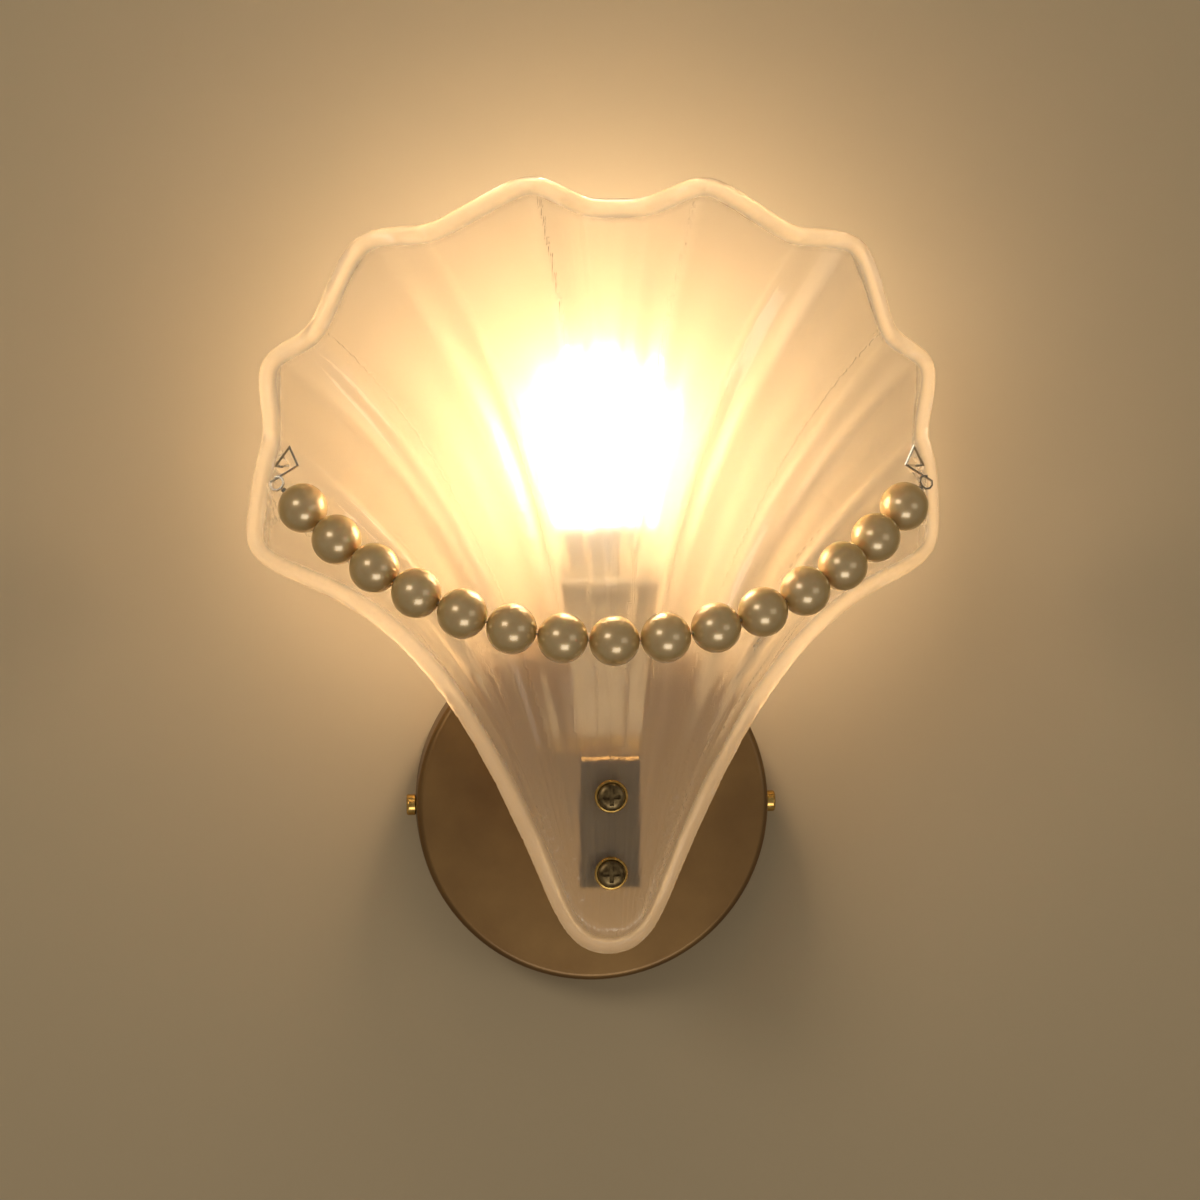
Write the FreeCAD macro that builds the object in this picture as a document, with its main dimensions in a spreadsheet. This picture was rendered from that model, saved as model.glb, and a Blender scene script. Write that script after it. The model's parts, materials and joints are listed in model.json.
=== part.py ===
import FreeCAD, Part
import math
import os
import re
import Sketcher

# Wall sconce with a fluted glass shell and a pearl strand, in millimetres.
# X runs to the right, Y into the wall and Z up. The origin is the centre of
# the canopy's back on the wall.

Vector = FreeCAD.Vector
os.makedirs("parts", exist_ok=True)
doc = FreeCAD.newDocument("shell_sconce")
dims = doc.addObject("Spreadsheet::Sheet", "dims")

SIZES = {
    # canopy
    "canopy_radius": 60.0,
    "canopy_depth": 18.0,
    "canopy_wall": 1.2,
    "canopy_edge": 1.0,
    "cord_hole_radius": 4.0,
    # crossbar inside the canopy
    "crossbar_thickness": 2.0,
    "crossbar_half_height": 9.0,
    "ear_gap": 1.3,
    "ear_length": 13.0,
    "slot_centre": 38.0,
    "slot_half_run": 8.0,
    "slot_radius": 2.5,
    "side_screw_radius": 2.0,
    "side_screw_depth": 9.0,
    "side_screw_length": 10.0,
    "side_knob_radius": 3.6,
    "side_knob_height": 3.2,
    "terminal_depth": 11.0,
    # bracket strip
    "strip_half_width": 9.25,
    "strip_thickness": 2.0,
    "strip_bend_radius": 1.5,
    "leg_top": 24.0,
    "foot_bottom": 7.0,
    "tab_bottom": -19.5,
    "foot_screw_offset": 5.2,
    "foot_screw_height": 15.0,
    "small_screw_radius": 1.5,
    # glass shell
    "shell_front": 83.0,
    "shell_thickness": 4.5,
    "shell_half_width": 118.3,
    "shell_base": -40.6,
    "shell_top": 207.0,
    "shell_flare": 18.0,
    "shell_bow": 62.0,
    "shell_flat_half": 12.0,
    "rib_ratio": 0.2,
    "border_turn": 8.0,
    "screw_upper_height": 11.5,
    "screw_lower_height": -13.2,
    "shell_screw_radius": 2.0,
    "shell_hole_radius": 2.7,
    "shell_head_radius": 4.5,
    "shell_washer_radius": 5.3,
    "shell_washer_depth": 1.0,
    "hook_hole_inset": 14.3,
    "hook_hole_height": 116.0,
    "hook_hole_radius": 2.5,
    # lampholder and bulb
    "lamp_axis": 50.0,
    "nipple_radius": 5.0,
    "nipple_bore": 3.6,
    "nipple_bottom": 14.0,
    "nut_height": 3.5,
    "holder_radius": 14.0,
    "holder_ring_radius": 17.0,
    "holder_top": 84.0,
    "sleeve_bore": 7.3,
    "socket_floor": 29.3,
    "contact_height": 1.0,
    "tip_height": 2.5,
    "cap_length": 26.0,
    "bulb_cap_radius": 6.9,
    "globe_radius": 22.5,
    "globe_height": 130.0,
    "globe_neck_height": 98.0,
    "globe_neck_radius": 13.5,
    # strand
    "pearl_radius": 8.0,
    "pearl_pitch": 16.3,
    "pearl_bore": 1.1,
    "thread_radius": 0.4,
    "strand_drop": 54.0,
    "strand_arc": 136.0,
    "strand_lift": 3.2,
    "strand_side_lift": 9.7,
    "wire_radius": 0.4,
    "hook_ring_radius": 2.3,
    # cord
    "cord_radius": 1.4,
    # clearances
    "seat_gap": 0.3,
    "fit_gap": 0.1,
    "run_gap": 0.05,
}

for row, name in enumerate(SIZES, 1):
    dims.set("A%d" % row, name)
    dims.set("B%d" % row, str(SIZES[name]))
    dims.setAlias("B%d" % row, name)
doc.recompute()


def size(name):
    return float(dims.get(name))


def total(text):
    """Value of a sum such as "leg_top - strip_thickness + 2"."""
    result = 0.0
    sign = 1.0
    for word in text.split():
        if word in "+-":
            sign = 1.0 if word == "+" else -1.0
            continue
        if word[0] == "-" and word[1].isalpha():
            sign = -sign
            word = word[1:]
        result += sign * (size(word) if word[0].isalpha() else float(word))
        sign = 1.0
    return result


def bound(text):
    """The same sum as an expression on the sheet."""
    return re.sub(r"[a-z][a-z_]+", r"dims.\g<0>", text)


def place(item, x, y, z):
    for axis, text in zip("xyz", (x, y, z)):
        item.setExpression("Placement.Base." + axis, bound(text))


AXES = {
    "x": FreeCAD.Rotation(Vector(0, 0, 1), Vector(1, 0, 0)),
    "-x": FreeCAD.Rotation(Vector(0, 0, 1), Vector(-1, 0, 0)),
    "y": FreeCAD.Rotation(Vector(0, 0, 1), Vector(0, 1, 0)),
    "-y": FreeCAD.Rotation(Vector(0, 0, 1), Vector(0, -1, 0)),
    "z": FreeCAD.Rotation(),
}


def rod(radius, height, axis, x, y, z, sides=0):
    """Round bar, or one with the given number of flat sides."""
    item = doc.addObject("Part::Prism" if sides else "Part::Cylinder", "rod")
    if sides:
        item.Polygon = sides
    item.setExpression("Circumradius" if sides else "Radius", bound(radius))
    item.setExpression("Height", bound(height))
    item.Placement = FreeCAD.Placement(Vector(), AXES[axis])
    place(item, x, y, z)
    return item


def block(length, width, height, x, y, z):
    item = doc.addObject("Part::Box", "block")
    item.setExpression("Length", bound(length))
    item.setExpression("Width", bound(width))
    item.setExpression("Height", bound(height))
    place(item, x, y, z)
    return item


# Flat sides of the small screws and of the bores in their nuts.
SCREW_SIDES = 12


def fuse(*items):
    item = doc.addObject("Part::MultiFuse", "joined")
    item.Shapes = list(items)
    return item


def cut(base, *tools):
    item = doc.addObject("Part::Cut", "cut")
    item.Base = base
    item.Tool = tools[0] if len(tools) == 1 else fuse(*tools)
    return item


PIECES = []


def keep(item, label):
    item.Label = label
    PIECES.append(item)
    return item


def gather(label, items):
    """Several separate solids of one kind under one name."""
    item = doc.addObject("Part::Compound", "set")
    item.Links = list(items)
    return keep(item, label)


def turned(profile, sides, placement, ring=False):
    """Turned solid with flat sides, from (radius, height) points up its outside."""
    rows = []
    for radius, height in profile:
        turns = [2 * math.pi * index / sides for index in range(sides)] if radius > 0 else [0.0]
        row = [Vector(radius * math.cos(turn), radius * math.sin(turn), height) for turn in turns]
        rows.append([placement.multVec(point) for point in row])
    faces = []
    pairs = list(zip(rows, rows[1:])) + ([(rows[-1], rows[0])] if ring else [])
    for low, high in pairs:
        for index in range(sides):
            after = (index + 1) % sides
            corners = [low[index], low[after]] if len(low) > 1 else [low[0]]
            corners += [high[after], high[index]] if len(high) > 1 else [high[0]]
            faces.append(Part.Face(Part.makePolygon(corners + [corners[0]])))
    solid = Part.Solid(Part.makeShell(faces))
    if solid.Volume < 0:
        solid.reverse()
    return solid


def feature(shape, label):
    """A shape from the functions above as a document object of its own."""
    item = doc.addObject("Part::Feature", label)
    item.Shape = shape
    item.Placement = FreeCAD.Placement()
    return keep(item, label)


# ---------------------------------------------------------------- sketches

def outline(body, plane, points, name):
    """Closed line sketch whose corners sit at sums of the sheet's sizes."""
    sketch = body.newObject("Sketcher::SketchObject", name)
    planes = [item for item in body.Origin.OriginFeatures if item.Role == plane]
    sketch.AttachmentSupport = [(planes[0], "")]
    sketch.MapMode = "FlatFace"
    corners = [Vector(total(x), total(y), 0) for x, y in points]
    count = len(corners)
    for index in range(count):
        sketch.addGeometry(Part.LineSegment(corners[index], corners[(index + 1) % count]), False)
    for index in range(count):
        sketch.addConstraint(Sketcher.Constraint("Coincident", index, 2, (index + 1) % count, 1))
    for index, (x, y) in enumerate(points):
        for kind, text in (("DistanceX", x), ("DistanceY", y)):
            number = sketch.addConstraint(Sketcher.Constraint(kind, -1, 1, index, 1, total(text)))
            sketch.setExpression("Constraints[%d]" % number, bound(text))
    return sketch


def discs(body, plane, centres, radius, name):
    """Sketch of equal circles."""
    sketch = body.newObject("Sketcher::SketchObject", name)
    planes = [item for item in body.Origin.OriginFeatures if item.Role == plane]
    sketch.AttachmentSupport = [(planes[0], "")]
    sketch.MapMode = "FlatFace"
    for index, (x, y) in enumerate(centres):
        centre = Vector(total(x), total(y), 0)
        sketch.addGeometry(Part.Circle(centre, Vector(0, 0, 1), total(radius)), False)
        for kind, text in (("DistanceX", x), ("DistanceY", y)):
            number = sketch.addConstraint(Sketcher.Constraint(kind, -1, 1, index, 3, total(text)))
            sketch.setExpression("Constraints[%d]" % number, bound(text))
        number = sketch.addConstraint(Sketcher.Constraint("Radius", index, total(radius)))
        sketch.setExpression("Constraints[%d]" % number, bound(radius))
    return sketch


def new_body(label):
    body = doc.addObject("PartDesign::Body", label)
    return keep(body, label)


def pad(body, sketch, length):
    item = body.newObject("PartDesign::Pad", "pad")
    item.Profile = sketch
    item.Midplane = True
    item.setExpression("Length", bound(length))
    return item


def through(body, sketch):
    item = body.newObject("PartDesign::Pocket", "pocket")
    item.Profile = sketch
    item.Type = 1
    item.Midplane = True
    return item


# ------------------------------------------------------------ wall side

def wall_canopy():
    """Spun cup with an eased front edge and holes for screws and cord."""
    outer = rod("canopy_radius", "canopy_depth", "-y", "0", "0", "0")
    eased = doc.addObject("Part::Chamfer", "edge")
    doc.recompute()
    eased.Base = outer
    front = [
        number for number, edge in enumerate(outer.Shape.Edges, 1)
        if edge.BoundBox.YMax < -size("canopy_depth") / 2
    ]
    eased.Edges = [(number, size("canopy_edge"), size("canopy_edge")) for number in front]
    inner = rod("canopy_radius - canopy_wall", "canopy_depth - canopy_wall", "-y", "0", "0", "0")
    holes = [rod("cord_hole_radius", "canopy_depth + 1", "-y", "0", "0", "0")]
    for side in ("foot_screw_offset", "-foot_screw_offset"):
        radius = "small_screw_radius + fit_gap"
        holes.append(rod(radius, "canopy_depth + 1", "-y", side, "0", "foot_screw_height", SCREW_SIDES))
    depth = "-side_screw_depth"
    radius = "side_screw_radius + fit_gap"
    holes.append(rod(radius, "canopy_radius + 2", "x", "0", depth, "0", SCREW_SIDES))
    holes.append(rod(radius, "canopy_radius + 2", "-x", "0", depth, "0", SCREW_SIDES))
    keep(cut(eased, inner, *holes), "wall_canopy")


def mounting_crossbar():
    """Steel strip on the wall with slots and two ears for the side screws."""
    edge = "canopy_radius - canopy_wall - ear_gap"
    inside = edge + " - crossbar_thickness"
    body = new_body("mounting_crossbar")
    points = [
        ("-canopy_radius + canopy_wall + ear_gap", "0"),
        (edge, "0"),
        (edge, "-ear_length"),
        (inside, "-ear_length"),
        (inside, "-crossbar_thickness"),
        ("-canopy_radius + canopy_wall + ear_gap + crossbar_thickness", "-crossbar_thickness"),
        ("-canopy_radius + canopy_wall + ear_gap + crossbar_thickness", "-ear_length"),
        ("-canopy_radius + canopy_wall + ear_gap", "-ear_length"),
    ]
    pad(body, outline(body, "XY_Plane", points, "strip"), "crossbar_half_height + crossbar_half_height")
    ears = discs(body, "YZ_Plane", [("-side_screw_depth", "0")], "side_screw_radius + fit_gap", "ear_holes")
    through(body, ears)
    near = "slot_centre - slot_half_run"
    far = "slot_centre + slot_half_run"
    minus_near = "-slot_centre + slot_half_run"
    minus_far = "-slot_centre - slot_half_run"
    slots = [
        (near, far),
        (minus_far, minus_near),
    ]
    for number, (left, right) in enumerate(slots):
        corners = [(left, "-slot_radius"), (right, "-slot_radius"), (right, "slot_radius"), (left, "slot_radius")]
        through(body, outline(body, "XZ_Plane", corners, "slot_%d" % number))
        through(body, discs(body, "XZ_Plane", [(left, "0")], "slot_radius", "slot_end_%d" % number))
        through(body, discs(body, "XZ_Plane", [(right, "0")], "slot_radius", "slot_start_%d" % number))
    earth = discs(body, "XZ_Plane", [("slot_centre - slot_half_run - 10", "0")], "side_screw_radius", "earth_hole")
    body.Tip = through(body, earth)


def side_knob_screw(sign, label):
    axis = "x" if sign > 0 else "-x"
    depth = "-side_screw_depth"
    start = "canopy_radius - side_screw_length" if sign > 0 else "-canopy_radius + side_screw_length"
    shank = rod("side_screw_radius", "side_screw_length + 1", axis, start, depth, "0", SCREW_SIDES)
    near = "canopy_radius + fit_gap" if sign > 0 else "-canopy_radius - fit_gap"
    knob = rod("side_knob_radius", "side_knob_height", axis, near, depth, "0", 2 * SCREW_SIDES)
    keep(fuse(shank, knob), label)


def earth_screw():
    x = "slot_centre - slot_half_run - 10"
    head = rod("side_screw_radius + 2", "2.2", "-y", x, "-crossbar_thickness", "0", SCREW_SIDES)
    shank = rod("side_screw_radius - fit_gap", "crossbar_thickness + 2", "-y", x, "0", "0", SCREW_SIDES)
    keep(fuse(head, shank), "earth_screw")


def terminal_block():
    """Insulating connector strip on the crossbar with three wire ways."""
    front = "-crossbar_thickness - terminal_depth"
    body = block("24", "terminal_depth", "14", "-12", front, "-7")
    ways = [rod("1.9", "5", "y", x, front, "0", SCREW_SIDES) for x in ("-8", "0", "8")]
    keep(cut(body, *ways), "terminal_block")
    heads = [rod("1.6", "0.8", "-y", x, front, "-4.6", SCREW_SIDES) for x in ("-8", "0", "8")]
    gather("terminal_screws", heads)


def canopy_grommet():
    """Rubber bush that fills the cord hole of the canopy."""
    face = size("canopy_depth")
    back = face - size("canopy_wall")
    bore = size("cord_radius") + size("seat_gap")
    neck = size("cord_hole_radius") - size("run_gap")
    gap = size("run_gap")
    profile = [
        (bore, back - gap - 1),
        (neck + 1.2, back - gap - 1),
        (neck + 1.2, back - gap),
        (neck, back - gap),
        (neck, face + gap),
        (neck + 2, face + gap),
        (neck + 2, face + gap + 1.2),
        (bore, face + gap + 1.2),
    ]
    feature(turned(profile, 16, FreeCAD.Placement(Vector(), AXES["-y"]), ring=True), "canopy_grommet")


# ------------------------------------------------------------ bracket

def round_bend(body, corners, radius):
    """Rounds the edges along X that pass through (y, z) corners of a body."""
    base = body.Tip
    names = []
    for y, z in corners:
        for number, edge in enumerate(base.Shape.Edges, 1):
            box = edge.BoundBox
            near = abs(box.Center.y - total(y)) < 0.01 and abs(box.Center.z - total(z)) < 0.01
            if near and box.YLength < 0.01 and box.ZLength < 0.01:
                names.append("Edge%d" % number)
    item = body.newObject("PartDesign::Fillet", "bend")
    item.Base = (base, names)
    item.setExpression("Radius", bound(radius))
    doc.recompute()


def shell_bracket():
    """Bent strip: foot on the canopy, leg under the lamp, tab behind the glass."""
    body = new_body("shell_bracket")
    back = "-canopy_depth"
    front = "-shell_front + shell_thickness + seat_gap"
    under = "leg_top - strip_thickness"
    points = [
        (back, "leg_top"),
        (front, "leg_top"),
        (front, "tab_bottom"),
        (front + " + strip_thickness", "tab_bottom"),
        (front + " + strip_thickness", under),
        ("-canopy_depth - strip_thickness", under),
        ("-canopy_depth - strip_thickness", "foot_bottom"),
        (back, "foot_bottom"),
    ]
    pad(body, outline(body, "YZ_Plane", points, "strip"), "strip_half_width + strip_half_width")
    doc.recompute()
    inner_bend = [(front + " + strip_thickness", under), ("-canopy_depth - strip_thickness", under)]
    outer_bend = [(front, "leg_top"), (back, "leg_top")]
    round_bend(body, inner_bend, "strip_bend_radius")
    round_bend(body, outer_bend, "strip_bend_radius + strip_thickness")
    hole = discs(body, "XY_Plane", [("0", "-lamp_axis")], "nipple_radius + fit_gap", "lamp_hole")
    through(body, hole)
    # The sketch plane for the tab and foot looks along the wall's normal.
    high = discs(body, "XZ_Plane", [("0", "screw_upper_height")], "shell_screw_radius + fit_gap", "upper_hole")
    through(body, high)
    low = discs(body, "XZ_Plane", [("0", "screw_lower_height")], "shell_screw_radius + fit_gap", "lower_hole")
    through(body, low)
    left = discs(body, "XZ_Plane", [("-foot_screw_offset", "foot_screw_height")],
                 "small_screw_radius + fit_gap", "left_foot_hole")
    right = discs(body, "XZ_Plane", [("foot_screw_offset", "foot_screw_height")],
                  "small_screw_radius + fit_gap", "right_foot_hole")
    for sketch in (left, right):
        item = body.newObject("PartDesign::Pocket", "foot_pocket")
        item.Profile = sketch
        item.Type = 0
        item.Midplane = False
        item.setExpression("Length", bound("canopy_depth + strip_thickness + 4"))
        item.Reversed = True
        body.Tip = item


def foot_fasteners():
    screws = []
    nuts = []
    for x in ("foot_screw_offset", "-foot_screw_offset"):
        face = "-canopy_depth - strip_thickness"
        height = "foot_screw_height"
        head = rod("small_screw_radius + 1.4", "1.8", "-y", x, face, height, SCREW_SIDES)
        reach = "strip_thickness + canopy_wall + 3.4"
        shank = rod("small_screw_radius", reach, "y", x, face, height, SCREW_SIDES)
        screws.append(fuse(head, shank))
        back = "-canopy_depth + canopy_wall"
        nut = rod("small_screw_radius + 1.6", "2.4", "y", x, back, height, 6)
        bore = rod("small_screw_radius + run_gap", "3", "y", x, back + " - 0.2", height, SCREW_SIDES)
        nuts.append(cut(nut, bore))
    gather("bracket_foot_screws", screws)
    gather("bracket_foot_nuts", nuts)


def shell_fasteners():
    """Two cross-head screws with cup washers and nuts that clamp the glass."""
    screws = []
    washers = []
    nuts = []
    for height in ("screw_upper_height", "screw_lower_height"):
        glass = "-shell_front - seat_gap - fit_gap"
        ring = rod("shell_washer_radius", "shell_washer_depth", "-y", "0", glass, height, 2 * SCREW_SIDES)
        bore = rod("shell_screw_radius + fit_gap", "shell_washer_depth", "-y", "0", glass, height, SCREW_SIDES)
        washers.append(cut(ring, bore))
        seat = glass + " - shell_washer_depth"
        head = rod("shell_head_radius - 0.5", "1.8", "-y", "0", seat, height, 2 * SCREW_SIDES)
        reach = "seat_gap + seat_gap + shell_washer_depth + shell_thickness + strip_thickness + 4.9"
        shank = rod("shell_screw_radius", reach, "y", "0", seat, height, SCREW_SIDES)
        screws.append(fuse(head, shank))
        back = "-shell_front + shell_thickness + seat_gap + strip_thickness"
        nut = rod("shell_screw_radius + 2.1", "3.2", "y", "0", back, height, 6)
        hole = rod("shell_screw_radius + run_gap", "5", "y", "0", back + " - 0.5", height, SCREW_SIDES)
        nuts.append(cut(nut, hole))
    gather("shell_screws", screws)
    gather("shell_cup_washers", washers)
    gather("shell_screw_nuts", nuts)


# ------------------------------------------------------------ lamp

LAMP_SIDES = 24


def lampholder():
    """Hollow nipple, locknut, skirt, two-part holder, metal sleeve and contacts."""
    leg = size("leg_top")
    top = size("holder_top")
    radius = size("holder_radius")
    bore = size("nipple_radius") + size("run_gap")
    nipple = [
        (size("nipple_bore"), size("nipple_bottom")),
        (size("nipple_radius"), size("nipple_bottom")),
        (size("nipple_radius"), leg + 8),
        (size("nipple_bore"), leg + 8),
    ]
    feature(turned(nipple, LAMP_SIDES, lamp_place(), ring=True), "hollow_nipple")
    under = "leg_top - strip_thickness - nut_height"
    nut = rod("nipple_radius + 3.2", "nut_height", "z", "0", "-lamp_axis", under, 6)
    hole = rod("nipple_radius + run_gap", "nut_height", "z", "0", "-lamp_axis", under, LAMP_SIDES)
    keep(cut(nut, hole), "nipple_locknut")

    cup = [
        (bore, leg),
        (radius + 1.5, leg),
        (radius + 1.5, leg + 5),
        (radius + 0.5, leg + 5),
        (radius + 0.5, leg + 1.2),
        (bore, leg + 1.2),
    ]
    feature(turned(cup, LAMP_SIDES, lamp_place(), ring=True), "holder_cup")

    foot = leg + 1.2 + size("fit_gap")
    joint = leg + size("socket_floor") - 8
    well = radius - 4.5
    base = [
        (bore, foot),
        (radius - 0.5, foot),
        (radius - 0.5, joint),
        (well, joint),
        (well, leg + 8),
        (bore, leg + 8),
    ]
    feature(turned(base, LAMP_SIDES, lamp_place(), ring=True), "holder_base")

    floor = leg + size("socket_floor")
    room = size("sleeve_bore") + 0.8
    barrel = [
        (0, joint),
        (radius, joint),
        (radius, top),
        (room, top),
        (room, floor),
        (0, floor),
    ]
    feature(turned(barrel, LAMP_SIDES, lamp_place()), "holder_barrel")

    inside = radius + size("run_gap")
    outside = size("holder_ring_radius")
    ring = [(inside, top - 9), (outside, top - 9), (outside, top - 4), (inside, top - 4)]
    feature(turned(ring, LAMP_SIDES, lamp_place(), ring=True), "holder_ring")

    sleeve = [
        (size("sleeve_bore"), floor + 1),
        (room - size("run_gap"), floor + 1),
        (room - size("run_gap"), top - 0.7),
        (size("sleeve_bore"), top - 0.7),
    ]
    feature(turned(sleeve, LAMP_SIDES, lamp_place(), ring=True), "holder_sleeve")
    contact = [(0, floor), (3, floor), (3, floor + size("contact_height")), (0, floor + size("contact_height"))]
    feature(turned(contact, LAMP_SIDES, lamp_place()), "holder_centre_contact")


def cap_foot():
    """Height of the screw cap's foot above the tip contact."""
    stack = ("leg_top", "socket_floor", "contact_height", "seat_gap", "tip_height")
    return sum(size(name) for name in stack)


def bulb():
    """Opal bulb: screw cap, tip contact, housing and globe."""
    foot = cap_foot()
    radius = size("bulb_cap_radius")
    top = foot + size("cap_length")
    tip = [(0, foot - size("tip_height")), (2.4, foot - size("tip_height")), (2.4, foot), (0, foot)]
    feature(turned(tip, LAMP_SIDES, lamp_place()), "bulb_tip_contact")
    cap = [(0, foot), (radius, foot), (radius, top), (0, top)]
    feature(turned(cap, LAMP_SIDES, lamp_place()), "bulb_cap")
    bulb_housing()
    bulb_globe()


def lamp_place():
    return FreeCAD.Placement(Vector(0, -size("lamp_axis"), 0), FreeCAD.Rotation())


def bulb_housing():
    """Tapered plastic neck of the bulb, from its cap to its globe."""
    low = cap_foot() + size("cap_length")
    seat = size("holder_top") + 0.5
    high = size("globe_neck_height")
    cap = size("bulb_cap_radius")
    neck = size("globe_neck_radius")
    profile = [(0, low), (cap, low), (cap, seat), (cap + 2, seat), (neck, high), (0, high)]
    feature(turned(profile, LAMP_SIDES, lamp_place()), "bulb_housing")


def bulb_globe():
    """Opal glass globe that narrows in an even slope to its neck."""
    radius = size("globe_radius")
    centre = size("globe_height")
    low = size("globe_neck_height")
    steps = 9
    touch = -40.0
    profile = [(0, low), (size("globe_neck_radius"), low)]
    for index in range(steps):
        angle = math.radians(touch + (90 - touch) * index / steps)
        profile.append((radius * math.cos(angle), centre + radius * math.sin(angle)))
    profile.append((0, centre + radius))
    feature(turned(profile, LAMP_SIDES, lamp_place()), "bulb_globe")


def lamp_cord():
    """Sheathed lead from the terminal block through the grommet into the nipple."""
    start = -size("crossbar_thickness") - size("terminal_depth") - size("seat_gap")
    lamp = -size("lamp_axis")
    top = size("leg_top") + 5
    run = start - lamp
    bend = 0.45 * min(run, top)
    path = [
        Part.LineSegment(Vector(0, start, 0), Vector(0, lamp + bend, 0)).toShape(),
        Part.Arc(
            Vector(0, lamp + bend, 0),
            Vector(0, lamp + bend - bend * math.sin(math.pi / 4), bend - bend * math.cos(math.pi / 4)),
            Vector(0, lamp, bend),
        ).toShape(),
        Part.LineSegment(Vector(0, lamp, bend), Vector(0, lamp, top)).toShape(),
    ]
    wire = Part.Wire(path)
    shape = wire.makePipeShell([section(Vector(0, start, 0), Vector(0, 1, 0), size("cord_radius"))], True, False)
    expected = section_area(size("cord_radius")) * wire.Length
    print("lamp cord radius %.2f length %.2f volume ratio %.4f" % (bend, wire.Length, shape.Volume / expected))
    feature(shape, "lamp_cord")


SECTION_SIDES = 6


def section(centre, way, radius):
    """Six-sided section of a cord or wire, square to its way."""
    turn = FreeCAD.Rotation(Vector(0, 0, 1), way)
    points = []
    for index in range(SECTION_SIDES + 1):
        angle = 2 * math.pi * index / SECTION_SIDES
        points.append(centre + turn.multVec(Vector(radius * math.cos(angle), radius * math.sin(angle), 0)))
    return Part.makePolygon(points)


def section_area(radius):
    return SECTION_SIDES / 2 * radius ** 2 * math.sin(2 * math.pi / SECTION_SIDES)


# ------------------------------------------------------------ glass shell

# Rib lines of the right half from base to rim, as four control points each,
# then the rim point on the outline. X is a share of the half width and Z a
# share of the height from base to top.
RIB_LINES = [
    ((0.0051, 0.0327), (0.0051, 0.4063), (0.0127, 0.6486), (0.0871, 0.9475), (0.0888, 0.9657)),
    ((0.0423, 0.0355), (0.0845, 0.3255), (0.1183, 0.6890), (0.4928, 0.9164), (0.5072, 0.9334)),
    ((0.0744, 0.0448), (0.2029, 0.3255), (0.2874, 0.5759), (0.7861, 0.7964), (0.8157, 0.8082)),
    ((0.0955, 0.0569), (0.2367, 0.3013), (0.4565, 0.5355), (0.8986, 0.6700), (0.9383, 0.6769)),
    ((0.1141, 0.0771), (0.2536, 0.2851), (0.4649, 0.5073), (0.9298, 0.5214), (1.0000, 0.5355)),
    ((0.1775, 0.0893), (0.3381, 0.2528), (0.5241, 0.4548), (0.9045, 0.4851), (0.9831, 0.5012)),
]
# Outline points under the base ends of the same lines.
BASE_TIPS = [
    (0.0051, 0.0000),
    (0.0507, 0.0032),
    (0.0888, 0.0129),
    (0.1141, 0.0267),
    (0.1352, 0.0448),
    (0.1606, 0.0630),
]
# Outward swell of the outline across each rib, and the rib's cross profile.
ACROSS = (0.0, 0.1, 0.3, 0.5, 0.75, 1.0)
SWELL = [
    (0, 0.042, 0.101, 0.076, 0.013, 0),
    (0, 0.034, 0.118, 0.110, 0.034, 0),
    (0, 0.025, 0.093, 0.101, 0.068, 0),
    (0, 0.003, 0.007, 0.010, 0.013, 0),
]
PROFILE = (0.0, 0.75, 1.15, 0.8, 0.25, 0.0)
ALONG = (0.0, 0.08, 0.2, 0.35, 0.5, 0.65, 0.8, 0.92, 1.0)


def smooth(value):
    value = min(1.0, max(0.0, value))
    return value * value * (3 - 2 * value)


def scaled(point):
    """Real x and z of a point given as shares of the half width and the height."""
    tall = size("shell_top") - size("shell_base")
    return point[0] * size("shell_half_width"), size("shell_base") + point[1] * tall


def flare(z):
    start = size("leg_top") + 16
    reach = size("shell_top") - start
    return size("shell_flare") * max(0.0, (z - start) / reach) ** 1.8


def bow(x):
    flat = size("shell_flat_half")
    reach = size("shell_half_width") - flat
    return size("shell_bow") * max(0.0, (abs(x) - flat) / reach) ** 2.3


def hook_hole_x():
    return size("shell_half_width") - size("hook_hole_inset")


def glass_front(x, z):
    """Y of the shell's smooth front, before the ribs are added."""
    return -(size("shell_front") + flare(z) - bow(x))


def inward(x, z):
    """Unit direction through the sheet from its front to its back."""
    step = 0.01
    slope_x = (glass_front(x + step, z) - glass_front(x - step, z)) / (2 * step)
    slope_z = (glass_front(x, z + step) - glass_front(x, z - step)) / (2 * step)
    way = Vector(-slope_x, 1, -slope_z)
    return way.normalize()


def on_line(line, t):
    """Point on a rib line at fraction t."""
    a, b, c, d = [scaled(point) for point in line[:4]]
    u = 1 - t
    return tuple(
        u ** 3 * a[i] + 3 * u * u * t * b[i] + 3 * u * t * t * c[i] + t ** 3 * d[i] for i in (0, 1)
    )


def mirrored(column):
    """Rib line, base tip and sign for a column index from -6 to 6 without 0."""
    return RIB_LINES[abs(column) - 1], BASE_TIPS[abs(column) - 1], 1 if column > 0 else -1


def station(column, row):
    """Corner point (x, z) of a column line at a row: below 0 base tip, above 1 rim."""
    line, tip, sign = mirrored(column)
    if row < 0:
        x, z = scaled(tip)
    elif row > 1:
        x, z = scaled(line[4])
    else:
        x, z = on_line(line, row)
    return sign * x, z


def rib_number(left, right):
    """Rib between two neighbouring columns: 0 web, 1 to 4 ribs, 5 side border."""
    return 0 if left * right < 0 else min(abs(left), abs(right))


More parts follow.
